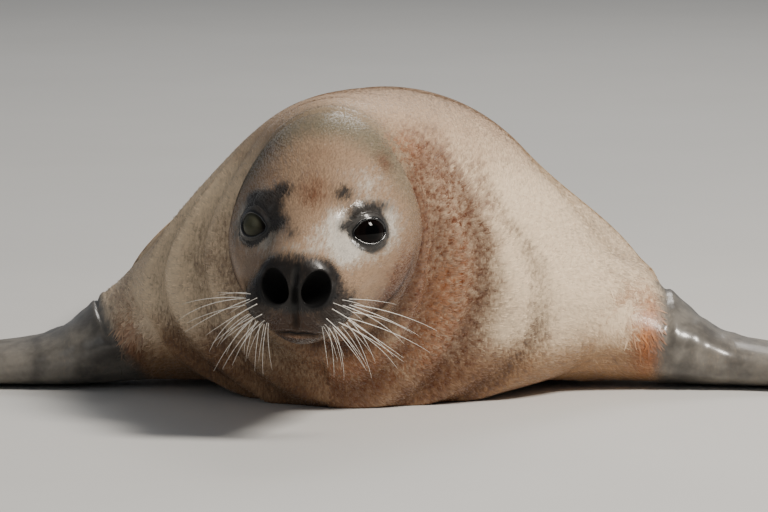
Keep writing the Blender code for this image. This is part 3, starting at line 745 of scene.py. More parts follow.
# The unwrap, corner by corner: a face on a flipper lies in that flipper's strip, a face over the seam
# along the belly runs on past it, and a pole lies between its neighbours.
on_strip = (skin["region"][skin["faces"]] >= 3).any(axis=1)
corner_flat = np.where(on_strip[:, None, None], strip_of[skin["faces"]], skin["flat"][skin["faces"]])
turn_length = np.where(on_strip, strip_width, body_width)[:, None]
seen = np.where(np.isin(skin["faces"], poles), np.nan, corner_flat[..., 0])
seen += turn_length * (seen < np.nanmax(seen, axis=1, keepdims=True) - turn_length / 2)
corner_flat[..., 0] = np.where(np.isnan(seen), np.nanmean(seen, axis=1, keepdims=True), seen)


# ------------------------------------------------------------------------------------------------------
# The markings. The coat is cream on the flanks, browner along the back, rust on neck, throat and in the
# armpits, and grey on the head; nostrils, lids and brow spots are black. Some of the colour is painted
# light: silver highlights on the face, and painted shade under the pads and chin, along the belly, in the
# neck's folds and round the right eye. Skin and coat share them: each mask is a formula of the place on
# the straight animal, so a tuft has the colour of the skin under it.
# A patch is a row of strength, lean, middle and reach. A lean of None is a patch on one side only. Any
# other is a patch on both sides, stronger by the lean on the left and weaker by it on the right.
patches = {
    "neck rust": [
        (1.25, None, (0.098, 0.212, 0.140), (0.038, 0.048, 0.100)),
        (0.75, None, (0.080, 0.188, 0.165), (0.020, 0.026, 0.075)),
        (0.40, None, (0.064, 0.206, 0.228), (0.032, 0.032, 0.028)),
        (0.50, None, (-0.105, 0.205, 0.110), (0.045, 0.050, 0.080)),
    ],
    "rust": [
        (0.30, None, (0.200, 0.460, 0.125), (0.030, 0.160, 0.050)),
        (0.55, 0, (0.219, 0.320, 0.036), (0.013, 0.050, 0.020)),  # armpits
        (0.35, 0, (0.225, 0.350, 0.078), (0.026, 0.070, 0.030)),
        (0.80, 0.15, (0.070, 0.108, 0.142), (0.020, 0.042, 0.030)),  # cheeks
        (0.60, 0, (0.058, 0.110, 0.122), (0.030, 0.050, 0.018)),
        (0.85, None, (0.002, 0.079, 0.217), (0.016, 0.028, 0.018)),  # forehead
        (0.40, None, (0.002, 0.118, 0.243), (0.016, 0.016, 0.012)),
        (0.60, None, (-0.044, 0.148, 0.236), (0.018, 0.020, 0.014)),
        (0.65, None, (0.050, 0.140, 0.233), (0.012, 0.018, 0.012)),
    ],
    # Silver is partly silver-grey fur and partly painted highlight: wet glints below the eyes, on the brows
    # and on the bridge, stronger on the lit left side.
    "silver": [
        (0.80, 0.35, (0.031, 0.050, 0.181), (0.018, 0.028, 0.013)),  # beside the muzzle
        (0.35, 0, (0.064, 0.098, 0.190), (0.012, 0.020, 0.018)),
        (0.45, None, (0.044, 0.104, 0.224), (0.018, 0.024, 0.012)),
        (0.40, None, (0.002, 0.018, 0.187), (0.020, 0.018, 0.008)),
        (0.70, None, (0.020, 0.062, 0.201), (0.011, 0.020, 0.010)),
        (0.35, None, (0.014, 0.040, 0.192), (0.010, 0.018, 0.008)),
    ],
    "orange": [
        (0.8625, 0.2875, (0.227, 0.334, 0.048), (0.018, 0.060, 0.034)),  # armpits
        (0.45, None, (0.094, 0.205, 0.110), (0.032, 0.040, 0.060)),
        (0.50, None, (0.030, 0.165, 0.050), (0.080, 0.060, 0.036)),
        (0.35, None, (0.060, 0.190, 0.235), (0.030, 0.030, 0.020)),
    ],
    "charcoal": [
        (0.95, 0, (0.0300, 0.0670, 0.1945), (0.0078, 0.0120, 0.0054)),  # round both eyes
        (0.85, 0, (0.0430, 0.0840, 0.2070), (0.0155, 0.0160, 0.0062)),
        (0.45, 0, (0.0325, 0.0760, 0.2020), (0.0090, 0.0120, 0.0070)),
        (0.60, 0, (0.0560, 0.0980, 0.2050), (0.0110, 0.0140, 0.0065)),
        # Round the right eye: partly dark fur, partly painted shade on the shaded right side of the face.
        (0.85, None, (-0.0460, 0.0850, 0.2070), (0.0190, 0.0220, 0.0100)),  # the patch on the right
        (0.50, None, (-0.0310, 0.0790, 0.2110), (0.0120, 0.0150, 0.0085)),
        (0.75, None, (-0.0350, 0.0690, 0.1910), (0.0085, 0.0150, 0.0115)),
        (0.60, None, (-0.0640, 0.0960, 0.1810), (0.0120, 0.0200, 0.0170)),
        (0.80, None, (-0.0210, 0.0570, 0.1985), (0.0100, 0.0160, 0.0085)),
        (0.60, None, (-0.0090, 0.0380, 0.1945), (0.0085, 0.0150, 0.0065)),
        (0.55, None, (-0.0440, 0.0670, 0.1750), (0.0140, 0.0160, 0.0055)),
        (0.45, 0, (0.040, 0.018, 0.148), (0.012, 0.022, 0.012)),  # whisker pads
    ],
    # Dark brown round the mouth: the lips' own colour, with painted shade under the whisker pads. The
    # second patch paints shade over the lower lip's lit rim.
    "lips": [
        (1.60, None, (0.0, 0.016, 0.124), (0.026, 0.034, 0.021)),
        (0.60, None, (0.0, 0.016, 0.1080), (0.022, 0.024, 0.0040)),
    ],
    "lower lip": [(1, None, (0.0, 0.014, 0.1125), (0.014, 0.020, 0.0030))],
    # Painted shadow under the chin, in the lips' dark brown.
    "throat": [(0.55, None, (0.0, 0.130, 0.070), (0.075, 0.060, 0.034))],
    "pads": [(1.35, 0, (0.033, 0.012, 0.140), (0.023, 0.028, 0.018))],
    "wet": [(0.8, 0, (0.226, 0.340, 0.060), (0.022, 0.070, 0.045))],
}


def markings(rest, region, share, fold):
    """Sixteen masks, mostly from 0 to 1: sums of Gaussian patches, ramps along the body and round it, and
    ovals on the face. The bottoms of the neck's folds are darker: this is painted shade in the creases."""
    x, y, z = rest.T
    side_x, mirrored = np.abs(x), both_sides(rest)

    def patched(name):
        """The sum of the patches of one mask."""
        return sum(
            strength * bump_at(rest, middle, reach) if lean is None
            else (strength + lean * np.sign(x)) * bump_at(mirrored, middle, reach)
            for strength, lean, middle, reach in patches[name]
        )

    on_head = 1 - smoothstep(0.150, 0.225, y)
    eye_gap = np.linalg.norm((mirrored - eye_middle - 0.012 * eye_gaze) / (1.0, 1.25, 0.85), axis=1)
    back_line = smoothstep(0.55, 0.98, z / np.interp(y, body_sections[:, 0], body_sections[:, 3]))
    back_line *= smoothstep(0.105, 0.160, y)
    # Darker and browner towards the floor: partly the belly's own tone, partly painted shade.
    low_line = 1 - smoothstep(0.012, 0.085, z)
    fore_bare = smoothstep(-0.024, 0.007, side_x - fore_crease(x, z))
    bare = np.where(region == 3, fore_bare, np.where(region == 4, smoothstep(1.35, 1.42, y), 0))

    # Along the lower neck the throat is rust: partly stain, partly painted shade under the chin.
    throat_line = low_line * (1 - smoothstep(0.20, 0.50, y)) * smoothstep(0.060, 0.150, y)
    rust = patched("neck rust") + 0.55 * throat_line * (1 - 0.5 * smoothstep(0.05, 0.16, x))
    rust *= 0.92 + 0.08 * np.sin(420 * y + 3 * np.sin(55 * z))
    # The fold term is painted shade in the bottoms of the neck's folds, on the left side.
    rust += patched("rust") + 0.45 * fold * (x > 0)
    # A little rust low along the flanks, partly painted shade.
    rust += 0.20 * low_line * smoothstep(0.30, 0.50, y) * (1 - smoothstep(1.0, 1.4, y))
    # A ring of silver round each eye: silver fur with a painted highlight.
    silver = patched("silver") + 0.50 * np.exp(-((eye_gap / 0.031) ** 4))
    lower_lip = patched("lower lip")
    orange = patched("orange") + 0.55 * lower_lip
    lips = patched("lips") * (1 - 0.65 * lower_lip) + patched("throat")
    # Painted shade: the bottoms of the neck's folds are darkened, more on the left.
    lips += 0.35 * fold + 0.60 * fold**4 * (x > 0)

    # The brow spots are streaked along the hair. The nose pad is an oval round both nostrils.
    spot = np.linalg.norm((mirrored - (0.0246, 0.0856, 0.2188)) / (0.0090, 0.0130, 0.0068), axis=1)
    streak = 0.5 + 0.5 * np.sin(900 * (x + 0.35 * z) + 3 * np.sin(420 * z))
    nose_pad = np.hypot((x + 0.001) / 0.0375, (z - 0.1620) / 0.0250)
    charcoal = patched("charcoal") + (region == 1) * smoothstep(0.10, 0.50, share)
    charcoal += (1.00 + 0.10 * np.sign(x)) * np.exp(-(spot**2)) * (0.75 + 0.25 * streak)
    # The nose pad fades lighter at its top: partly grey fur, partly painted highlight.
    charcoal += (1 - smoothstep(0.80, 1.18, nose_pad)) * (1 - smoothstep(0.018, 0.038, y)) * (
        1.10 - 0.42 * smoothstep(0.173, 0.188, z)
    )
    nose_bare = (1 - smoothstep(0.66, 0.84, nose_pad)) * (1 - smoothstep(0.018, 0.030, y)) * (region == 0)

    # Black: the nostrils with their rims and the groove between them, the line of the mouth, the lids.
    rim = 1 - smoothstep(0.98, 1.22, np.hypot((side_x - 0.0180) / 0.0145, (z - 0.1600) / 0.0175))
    nostril = 0.60 * np.maximum(rim * (1 - smoothstep(0.014, 0.026, y)) * (region == 0), nose_bare)
    # Deeper in the passage it turns full black: dark skin, with painted shade in the recess.
    nostril += (region == 2) * (0.60 + 0.40 * smoothstep(0.05, 0.30, share))
    septum = np.exp(-((x / 0.0068) ** 2)) * smoothstep(0.132, 0.148, z) * (1 - smoothstep(0.154, 0.180, z))
    nostril = np.maximum(nostril, septum * (1 - smoothstep(0.02, 0.03, y)))
    mouth = 0.55 * np.exp(-(((z - mouth_height(x, y)) / 0.0018) ** 2)) * (1 - smoothstep(0.030, 0.062, y))
    mouth *= 1 - 0.8 * smoothstep(0.010, 0.024, side_x)
    groove = np.exp(-((x / 0.0030) ** 2)) * smoothstep(0.116, 0.128, z) * (1 - smoothstep(0.170, 0.182, z))
    mouth += 0.90 * groove * (1 - smoothstep(0.02, 0.04, y))
    dark_lid, wet_lid = ((region == 1) * smoothstep(*span, share) for span in ((0.60, 0.74), (0.62, 0.80)))

    wet = np.max([
        bare * (1 - 0.6 * smoothstep(0.275, 0.340, side_x)),
        patched("wet"),
        0.75 * np.exp(-((eye_gap / 0.034) ** 4)),
        0.65 * (1 - smoothstep(0.80, 1.20, nose_pad)) * (1 - smoothstep(0.020, 0.036, y)),
        0.55 * nose_bare,
    ], axis=0)
    return {
        "marks_warm": np.stack([rust, back_line, low_line, on_head], axis=1),
        "marks_face": np.stack([silver, lips, patched("pads"), charcoal], axis=1),
        "marks_dark": np.stack([dark_lid, nostril, mouth, bare], axis=1),
        "marks_wet": np.stack([wet, wet_lid, orange, np.maximum(bare, nose_bare)], axis=1),
    }


def display(red, green, blue):
    """A colour as a screen shows it, 0 to 255, as the light it stands for: its 2.2 power, near enough."""
    return tuple((value / 255) ** 2.2 for value in (red, green, blue)) + (1.0,)


class Nodes:
    """Places shader nodes in a tree, left to right, and wires them by socket name."""

    def __init__(self, tree):
        self.tree = tree

    def add(self, kind, inputs=None, **settings):
        node = self.tree.nodes.new(kind)
        node.location = (180 * len(self.tree.nodes), 0)
        for key, value in settings.items():
            setattr(node, key, value)
        return self.fill(node, inputs or {})

    def fill(self, node, inputs):
        """Wires another node's output to a socket, or sets the socket where the value is a plain one."""
        for key, value in inputs.items():
            if isinstance(value, bpy.types.NodeSocket):
                self.tree.links.new(value, node.inputs[key])
            else:
                node.inputs[key].default_value = value
        return node

    def math(self, operation, a, b=0.0, clamp=False):
        node = self.add("ShaderNodeMath", {0: a, 1: b}, operation=operation, use_clamp=clamp)
        return node.outputs[0]

    def plus(self, a, b, share, clamp=False):
        """a with b times share on top."""
        return self.math("ADD", a, self.math("MULTIPLY", b, share), clamp)

    def mix(self, share, a, b, blend="MIX"):
        node = self.add("ShaderNodeMix", {0: share, 6: a, 7: b}, data_type="RGBA", blend_type=blend)
        return node.outputs[2]

    def attribute(self, name):
        return self.add("ShaderNodeAttribute", attribute_name=name)

    def split(self, colour):
        """The three channels of a colour, or of another value of three numbers."""
        return self.add("ShaderNodeSeparateColor", {0: colour}).outputs

    def noise(self, place, scale, detail=2.0, rough=0.5, stretch=None):
        if stretch:
            place = self.add("ShaderNodeMapping", {"Vector": place, "Scale": stretch}).outputs[0]
        sockets = {"Vector": place, "Scale": scale, "Detail": detail, "Roughness": rough}
        return self.add("ShaderNodeTexNoise", sockets).outputs[0]

    def bump(self, height, strength, distance):
        sockets = {"Height": height, "Strength": strength, "Distance": distance}
        return self.add("ShaderNodeBump", sockets).outputs[0]

    def ramp(self, value, low, high):
        sockets = {"Value": value, "From Min": low, "From Max": high}
        return self.add("ShaderNodeMapRange", sockets, interpolation_type="SMOOTHSTEP").outputs[0]


def new_group(name, inputs, outputs):
    """An empty shader group with named sockets; returns its tree, nodes, input node and output node."""
    tree = bpy.data.node_groups.new(name, "ShaderNodeTree")
    for direction, sockets in (("INPUT", inputs), ("OUTPUT", outputs)):
        for socket_name, kind in sockets.items():
            tree.interface.new_socket(socket_name, in_out=direction, socket_type="NodeSocket" + kind)
    nodes = Nodes(tree)
    return tree, nodes, nodes.add("NodeGroupInput"), nodes.add("NodeGroupOutput")


coat_colours = {
    "cream": display(232, 208, 176),
    "back": display(170, 138, 112),
    # Low on the body: partly the belly's own tone, partly painted shade.
    "low": display(150, 108, 70),
    "rust": display(92, 52, 30),
    "orange": display(178, 104, 50),
    "head": display(152, 126, 102),
    "crown": display(118, 108, 88),
    # Near-white: silver fur brightened into a painted highlight.
    "silver": display(206, 201, 190),
    "pad": display(64, 56, 50),
    "lips": display(46, 27, 17),
    "charcoal": display(30, 30, 31),
    "black": display(9, 8, 8),
    "flipper": display(122, 117, 109),
    "dark_flipper": display(88, 84, 79),
    "fleck": display(112, 82, 60),
}
markings_group, nodes, given, result = new_group(
    "seal_markings",
    {"Place": "Vector", "Warm": "Color", "Warm head": "Float", "Face": "Color", "Charcoal": "Float",
     "Dark": "Color", "Bare": "Float", "Wet": "Color"},
    {"Color": "Color", "Mottle": "Float"},
)
place = given.outputs["Place"]
rust, back_line, low_line = nodes.split(given.outputs["Warm"])
silver, lips, pads = nodes.split(given.outputs["Face"])
dark_lid, nostril, mouth = nodes.split(given.outputs["Dark"])
orange = nodes.split(given.outputs["Wet"])[2]
broad = nodes.noise(place, 9.0, 3.0, 0.55)
blotch = nodes.noise(place, 38.0, 3.0, 0.6)
fine = nodes.noise(place, 260.0, 2.0, 0.6)
uneven = nodes.plus(nodes.plus(-0.5, broad, 0.6), blotch, 0.4)
streaks = nodes.noise(place, 1.0, 2.0, 0.6, stretch=(560.0, 70.0, 210.0))
streaks = nodes.math("SUBTRACT", streaks, 0.5)
specks = nodes.math("SUBTRACT", nodes.noise(place, 200.0, 4.0, 0.65), 0.5)


def ragged(mask, by=1.2, hairs=0.6):
    """A mask with an uneven, hairy edge: broad noise and fine streaks are added, then it is spread."""
    return nodes.ramp(nodes.plus(nodes.plus(mask, uneven, by), streaks, hairs), 0.08, 1.00)


def part_of(mask, share):
    return nodes.math("MULTIPLY", mask, share)


head_colour = nodes.mix(ragged(back_line), coat_colours["head"], coat_colours["crown"])
patchy = nodes.plus(0.76, specks, 1.5)
fleck = nodes.math("MULTIPLY", nodes.ramp(blotch, 0.56, 0.72), nodes.ramp(broad, 0.40, 0.62))
hide = nodes.mix(nodes.ramp(blotch, 0.35, 0.70), coat_colours["flipper"], coat_colours["dark_flipper"])
colour = coat_colours["cream"]
layers = [  # each covers those before it
    (part_of(ragged(back_line), 0.75), "back"),
    (part_of(ragged(low_line), 0.8), "low"),
    (given.outputs["Warm head"], head_colour),
    (nodes.math("MULTIPLY", ragged(rust, 1.3, 1.0), patchy, True), "rust"),
    (part_of(ragged(orange, 1.0, 1.2), 0.75), "orange"),
    (part_of(fleck, 0.34), "fleck"),
    # Silver fur and painted highlight.
    (part_of(ragged(silver, 1.0, 1.5), 0.80), "silver"),
    (ragged(pads, 0.6), "pad"),
    # Lips: dark brown, partly the lips' own colour and partly painted shade under the pads and chin.
    (part_of(ragged(lips, 0.6), 0.9), "lips"),
    # Charcoal: dark fur, and painted shade round the right eye.
    (part_of(ragged(given.outputs["Charcoal"], 0.8, 1.0), 0.94), "charcoal"),
    (ragged(given.outputs["Bare"], 0.8), hide),
    (nodes.math("MULTIPLY", mouth, 0.85, True), "black"),
    (nodes.math("MAXIMUM", dark_lid, nostril, True), "black"),
]
for mask, paint in layers:
    colour = nodes.mix(mask, colour, coat_colours[paint] if isinstance(paint, str) else paint)
grain = nodes.plus(0.82, fine, 0.36)
nodes.fill(result, {"Color": nodes.mix(1.0, colour, grain, "MULTIPLY"), "Mottle": uneven})


def add_markings(nodes):
    """Places the shared markings in a material, fed by the attributes that its piece carries."""
    group = nodes.add("ShaderNodeGroup", node_tree=markings_group)
    kinds = ("marks_warm", "marks_face", "marks_dark", "marks_wet")
    warm, face, dark, wet = (nodes.attribute(name).outputs for name in kinds)
    wires = {
        "Place": nodes.attribute("rest").outputs["Vector"],
        "Warm": warm["Color"], "Warm head": warm["Alpha"], "Face": face["Color"], "Charcoal": face["Alpha"],
        "Dark": dark["Color"], "Bare": dark["Alpha"], "Wet": wet["Color"],
    }
    return nodes.fill(group, wires)


def new_material(name):
    """A material with a Principled shader alone; returns it, its nodes and the shader."""
    made = bpy.data.materials.new(name)
    made.use_nodes = True
    shader = made.node_tree.nodes["Principled BSDF"]
    return made, Nodes(made.node_tree), shader


def carry_markings(piece, places, times=1):
    """Gives a piece its masks and its place on the straight animal, with each value so many times over."""
    for name, values in (markings(*places) | {"rest": places[0]}).items():
        mark_points(piece, name, np.repeat(values, times, axis=0))


# ------------------------------------------------------------------------------------------------------
# The skin: one piece for head, trunk, tail and flippers. It is covered in short hair, drawn as a fine
# grain along the lie of the coat. The flippers, lids and nostrils are nearly bare, wet and glossy.
skin_piece = mesh_piece("skin", skin["point"], skin["faces"], corner_flat)
fold_at = np.concatenate([in_fold.ravel(), np.zeros(len(skin["point"]) - in_fold.size)])
carry_markings(skin_piece, (skin["rest"], skin["region"], skin["share"], fold_at))
rest_x, rest_y, rest_z = skin["rest"].T
from_lips = np.abs(rest_x) / 0.022 + np.where(skin["region"] > 0, 9, rest_y / 0.05)  # the line thins out
from_lips = (rest_z - mouth_height(rest_x, rest_y)) * (1 + from_lips**4)
mark_points(skin_piece, "lie", np.column_stack([skin["lie"], from_lips]))

skin_material, nodes, shader = new_material("seal_skin")
markings_here = add_markings(nodes)
wet_marks = nodes.attribute("marks_wet").outputs
wet, wet_lid = nodes.split(wet_marks["Color"])[:2]
nostril = nodes.split(nodes.attribute("marks_dark").outputs["Color"])[1]
nose_pad, inside = nodes.ramp(nostril, 0.15, 0.55), nodes.ramp(nostril, 0.60, 1.02)
outside = nodes.math("SUBTRACT", 1.0, inside)
lie, place = (nodes.attribute(name).outputs["Vector"] for name in ("lie", "rest"))
strands = nodes.noise(lie, 1.0, 2.0, 0.6, stretch=(900.0, 90.0, 1.0))
leather = nodes.noise(place, 420.0, 3.0, 0.55)
pad_grain = nodes.noise(place, 1100.0, 1.0, 0.5)
relief = nodes.math("MULTIPLY", strands, nodes.math("SUBTRACT", 1.0, wet_marks["Alpha"]))
relief = nodes.plus(relief, leather, nodes.plus(0.35, wet, 0.45))
relief = nodes.math("MULTIPLY", nodes.plus(relief, pad_grain, nose_pad), outside)
rough = nodes.plus(nodes.plus(0.60, wet, -0.30), wet_lid, -0.40)
rough = nodes.plus(nodes.plus(rough, leather, 0.10), inside, 0.50, True)
shine = nodes.math("MAXIMUM", nodes.math("MULTIPLY", wet, 0.6), wet_lid, True)
shine = nodes.math("MULTIPLY", shine, outside)
shine = nodes.math("MULTIPLY", shine, nodes.plus(1.0, nose_pad, -0.5))
from_lips = nodes.math("ABSOLUTE", nodes.add("ShaderNodeSeparateXYZ", {0: lie}).outputs[2])
lips_apart = nodes.ramp(from_lips, 0.0003, 0.0012)
nodes.fill(shader, {
    "Base Color": nodes.mix(lips_apart, coat_colours["black"], markings_here.outputs["Color"]),
    "Roughness": rough,
    "Normal": nodes.bump(relief, 0.35, 0.0006),
    "Coat Weight": shine,
    "Coat Roughness": 0.18,
    "Specular IOR Level": 0.25,
})
skin_piece.data.materials.append(skin_material)
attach(skin_piece, "root")
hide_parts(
    "belly", "chest", "head", "hips", "lower_jaw", "muzzle", "neck", "tail",
    "fore_flipper_left", "fore_flipper_right", "hind_flipper_left", "hind_flipper_right",
)

# ------------------------------------------------------------------------------------------------------
# The eyes: large, nearly black balls with a thin brown iris, always wet. The right one has a grey
# haze over the middle of the ball. Each is a globe with a slight bulge for the cornea, and turns with the
# head.
for side, word, haze_strength in ((1, "left", 0.0), (-1, "right", 0.60)):
    eye_material, nodes, shader = new_material(f"eye_{word}")
    gaze = nodes.attribute("gaze").outputs["Vector"]
    from_axis = nodes.add("ShaderNodeSeparateXYZ", {0: gaze}).outputs[1]
    fibres = nodes.noise(gaze, 1.0, 3.0, 0.6, stretch=(14.0, 2.0, 1.0))
    iris = nodes.mix(fibres, display(9, 7, 7), display(24, 16, 12))
    iris_and_white = nodes.mix(nodes.ramp(from_axis, 31.0, 37.0), iris, display(24, 19, 17))
    ball_colour = nodes.mix(nodes.ramp(from_axis, 17.0, 20.0), display(7, 6, 6), iris_and_white)
    haze = nodes.math("MULTIPLY", nodes.math("SUBTRACT", 1.0, nodes.ramp(from_axis, 16.0, 42.0)), haze_strength)
    nodes.fill(shader, {
        "Base Color": nodes.mix(haze, ball_colour, display(92, 92, 76)),
        "Roughness": 0.05, "IOR": 1.33, "Specular IOR Level": 0.25,
    })
    ball, right, up, axis = eye_frames[side]
    # A ring every 5 degrees from the axis: radius times sine outwards, cosine forwards.
    eye_rings, eye_sides = 35, 48
    spin = -np.arange(eye_sides) * math.tau / eye_sides
    tilt, spin = np.meshgrid(np.linspace(0, math.pi, eye_rings + 2), spin, indexing="ij")
    globe = (eye_radius - 0.0003) + 0.0007 * np.exp(-((tilt / 0.50) ** 2))
    across = np.cos(spin)[..., None] * right + np.sin(spin)[..., None] * up
    surface = (globe * np.sin(tilt))[..., None] * across + (globe * np.cos(tilt))[..., None] * axis
    poles = np.array([axis * globe[0, 0], -axis * globe[-1, 0]])
    surface = bend_neck(np.concatenate([surface[1:-1].reshape(-1, 3), poles]) + ball)
    faces = ring_faces(eye_rings, eye_sides)
    around = np.concatenate([(spin[1:-1].ravel() / math.tau) % 1, [0.5, 0.5]])
    behind = np.concatenate([tilt[1:-1].ravel() / math.pi, [0.0, 1.0]])
    eye_flat = np.stack([around[faces], behind[faces]], axis=2)
    eye_flat[..., 0] += eye_flat[..., 0] < eye_flat[..., 0].max(axis=1, keepdims=True) - 0.6
    eyeball = mesh_piece(f"eyeball_{word}", surface - origin, faces, eye_flat * (0.97, 1.0))
    mark_points(eyeball, "gaze", np.stack([around, 180 * behind, 0 * behind], axis=1))
    eyeball.data.materials.append(eye_material)
    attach(eyeball, "root")
    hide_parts(f"eye_{word}")

# ------------------------------------------------------------------------------------------------------
# The claws: dark horn cones, curved down, one let into the end of each digit. They are finely streaked,
# flattened a little and blunt at the tip.
claw_material, nodes, shader = new_material("claw_horn")
streaks = nodes.noise(nodes.add("ShaderNodeTexCoord").outputs["Object"], 900.0, 3.0, 0.6)
nodes.fill(shader, {
    "Base Color": nodes.mix(streaks, display(34, 29, 25), display(74, 64, 54)),
    "Normal": nodes.bump(streaks, 0.3, 0.0003),
    "Roughness": 0.32,
})
# Length, the part of it that stands out of the digit, and radius.
claw_sizes = {"fore": (0.034, 0.019, 0.0042), "hind": (0.020, 0.009, 0.0030)}
claw_rings, claw_sides = 12, 12
cone_share = np.linspace(0, 0.97, claw_rings)[:, None, None]
cone_angle = (np.arange(claw_sides) * math.tau / claw_sides)[None, :, None]
for limb, shape in (("fore", fore_points), ("hind", hind_points)):
    length, outside, radius = claw_sizes[limb]
    for side, word in ((1, "left"), (-1, "right")):
        points, faces = [], []
        for digit in range(5):
            place_round = math.acos(1 - (2 * digit + 1) / 5)
            line = shape(side, np.array([0.86, 1.0]), np.array([place_round, -place_round])).mean(axis=1)
            along = unit(line[1] - line[0])
            sideways = unit(np.cross(along, (0, 0, 1)))
            over = np.cross(sideways, along)
            base, droop = line[1] - along * (length - outside), 0.10 * length * over
            # The radius falls as the 0.6 power of what is left to the tip; the middle droops as the square.
            cone = base + along * length * cone_share - droop * cone_share**2
            oval = 0.8 * np.cos(cone_angle) * sideways + np.sin(cone_angle) * over
            cone = cone + radius * (1 - cone_share) ** 0.6 * oval
            points.append(np.concatenate([cone.reshape(-1, 3), [base, base + along * length - droop]]))
            faces.append(ring_faces(claw_rings, claw_sides) + digit * len(points[0]))
        points = np.concatenate(points)
        points[:, 2] = np.maximum(points[:, 2], 0.0004)
        claws = mesh_piece(f"claws_{limb}_{word}", points - origin, np.concatenate(faces))
        claws.data.materials.append(claw_material)
        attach(claws, "root")
        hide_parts(*[f"claw_{limb}_{word}_{number}" for number in range(1, 6)])

# ------------------------------------------------------------------------------------------------------
# The whiskers: stiff white bristles, faintly beaded, in six rows on the lower half of each pad. They fan
# out and down from the pads and droop a little; the longest grow from the second row.
skin_normals = point_normals(skin["point"], skin["faces"])
whisker_random = np.random.default_rng(7)
on_body = np.flatnonzero((skin["region"] == 0) & (skin["rest"][:, 1] < 0.14))
whisker_rows = [
    # height of the row, how far it points down, length, number of whiskers
    (0.1460, 6, 0.044, 3),
    (0.1420, 18, 0.090, 4),
    (0.1380, 31, 0.078, 4),
    (0.1340, 45, 0.064, 4),
    (0.1305, 58, 0.054, 5),
    (0.1275, 72, 0.046, 5),
]
whiskers_planted = []
for side in (1, -1):
    for row, (height, drop, length, whisker_count) in enumerate(whisker_rows):
        for column in range(whisker_count):
            place = (side * (0.022 + 0.003 * column + 0.0012 * (5 - row)), 0.010 + 0.0055 * column, height)
            nearest = on_body[np.linalg.norm(skin["rest"][on_body] - place, axis=1).argmin()]
            lean = math.radians(drop) + whisker_random.normal(0, 0.12) + 0.10 * (1.5 - column)
            way = (side * math.cos(lean), 0.05 + 0.09 * column, -math.sin(lean))
            length_here = length * (0.66 + 0.10 * column) * whisker_random.uniform(0.72, 1.18)
            whiskers_planted.append((nearest, side, length_here, *way))
planted = np.array(whiskers_planted)
roots, count = planted[:, 0].astype(int), len(planted)
whisker_length = planted[:, 2][:, None, None]
way = unit(planted[:, 3:]) @ head_turn.T
droop = np.stack([-0.10 * planted[:, 1], np.full(count, 0.10), np.full(count, -0.12)], axis=1)
droop *= whisker_random.uniform(0.2, 1.9, (count, 1))
# The middle line runs out along its way and droops by the square of the share; the bristle is a tube of
# 48 rings of six points, thinner towards the tip, with a bead every 4.2 mm.
whisker_rings, whisker_sides, bead_length = 48, 6, 0.0042
t = np.linspace(0, 1, whisker_rings)[None, :, None]
root_gap = 0.0012  # the normals point inwards, so each root lies this far off the skin
start = skin["point"][roots] - root_gap * skin_normals[roots]
line = start[:, None] + whisker_length * (way[:, None] * t + droop[:, None] * t * t)
ahead = unit(np.gradient(line, axis=1))
sideways = unit(np.cross(ahead, (0.0, 0.3, 1.0)))
over = np.cross(sideways, ahead)
thickness = (0.00031 * (1 - t) ** 0.8 + 0.00006) * (0.4 + 0.6 * whisker_length / 0.05).clip(0.4, 1.05)
thickness = thickness * (1 + 0.14 * np.sin(t * whisker_length / bead_length * math.tau))
angle = (np.arange(whisker_sides) * math.tau / whisker_sides)[None, None, :, None]
tube = line[:, :, None] + thickness[:, :, None] * (
    np.cos(angle) * sideways[:, :, None] + np.sin(angle) * over[:, :, None]
)
ends = np.stack([start, line[:, -1] + ahead[:, -1] * 0.0004], axis=1)
points = np.concatenate([tube.reshape(count, -1, 3), ends], axis=1)
faces = ring_faces(whisker_rings, whisker_sides) + (points.shape[1] * np.arange(count))[:, None, None]
whiskers = mesh_piece("whiskers", points.reshape(-1, 3), faces.reshape(-1, 4))
whisker_material, nodes, shader = new_material("whisker_bristle")
bands = nodes.noise(nodes.add("ShaderNodeTexCoord").outputs["Object"], 240.0, 2.0)
nodes.fill(shader, {
    "Base Color": nodes.mix(bands, display(226, 218, 204), display(254, 251, 244)),
    "Roughness": 0.30,
})
whiskers.data.materials.append(whisker_material)
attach(whiskers, "root")

# ------------------------------------------------------------------------------------------------------
# The coat: short flat hair in fine pointed locks that overlap like thatch, 4 mm long on the face and
# 12 mm on the trunk. Each lock is a thin closed blade along the body. Its root stands a little proud of
# the skin and its tip sinks into it.
coat_random = np.random.default_rng(11)
corner = skin["point"][skin["faces"]]
share_corner = skin["share"][skin["faces"]].mean(axis=1)
region_corner = skin["region"][skin["faces"]].max(axis=1)
diagonals = corner[:, 2] - corner[:, 0], corner[:, 3] - corner[:, 1]
face_area = 0.5 * np.linalg.norm(np.cross(*diagonals), axis=1)
centre = skin["rest"][skin["faces"]].mean(axis=1)
height_over_floor = corner.mean(axis=1)[:, 2] - solid_box[0][2]
fold_corner = fold_at[skin["faces"]].mean(axis=1)
face_marks = markings(centre, region_corner, share_corner, fold_corner)
spacing = np.interp(
    centre[:, 1],
    [0.02, 0.10, 0.18, 0.30, 0.50, 1.30],
    [0.0015, 0.0017, 0.0021, 0.0027, 0.0033, 0.0037],
)
weight = face_area / spacing**2
weight *= 1 - smoothstep(0.25, 0.60, share_corner) * (region_corner == 1)
weight *= (region_corner != 2) * (1 - smoothstep(0.35, 0.58, face_marks["marks_dark"][:, 1]))
weight *= 1 - smoothstep(0.05, 0.85, face_marks["marks_wet"][:, 3])
weight *= smoothstep(0.0012, 0.0030, height_over_floor)
weight *= 1 - smoothstep(0.15, 0.45, face_marks["marks_dark"][:, 2])
weight *= 1 - 0.35 * fold_corner


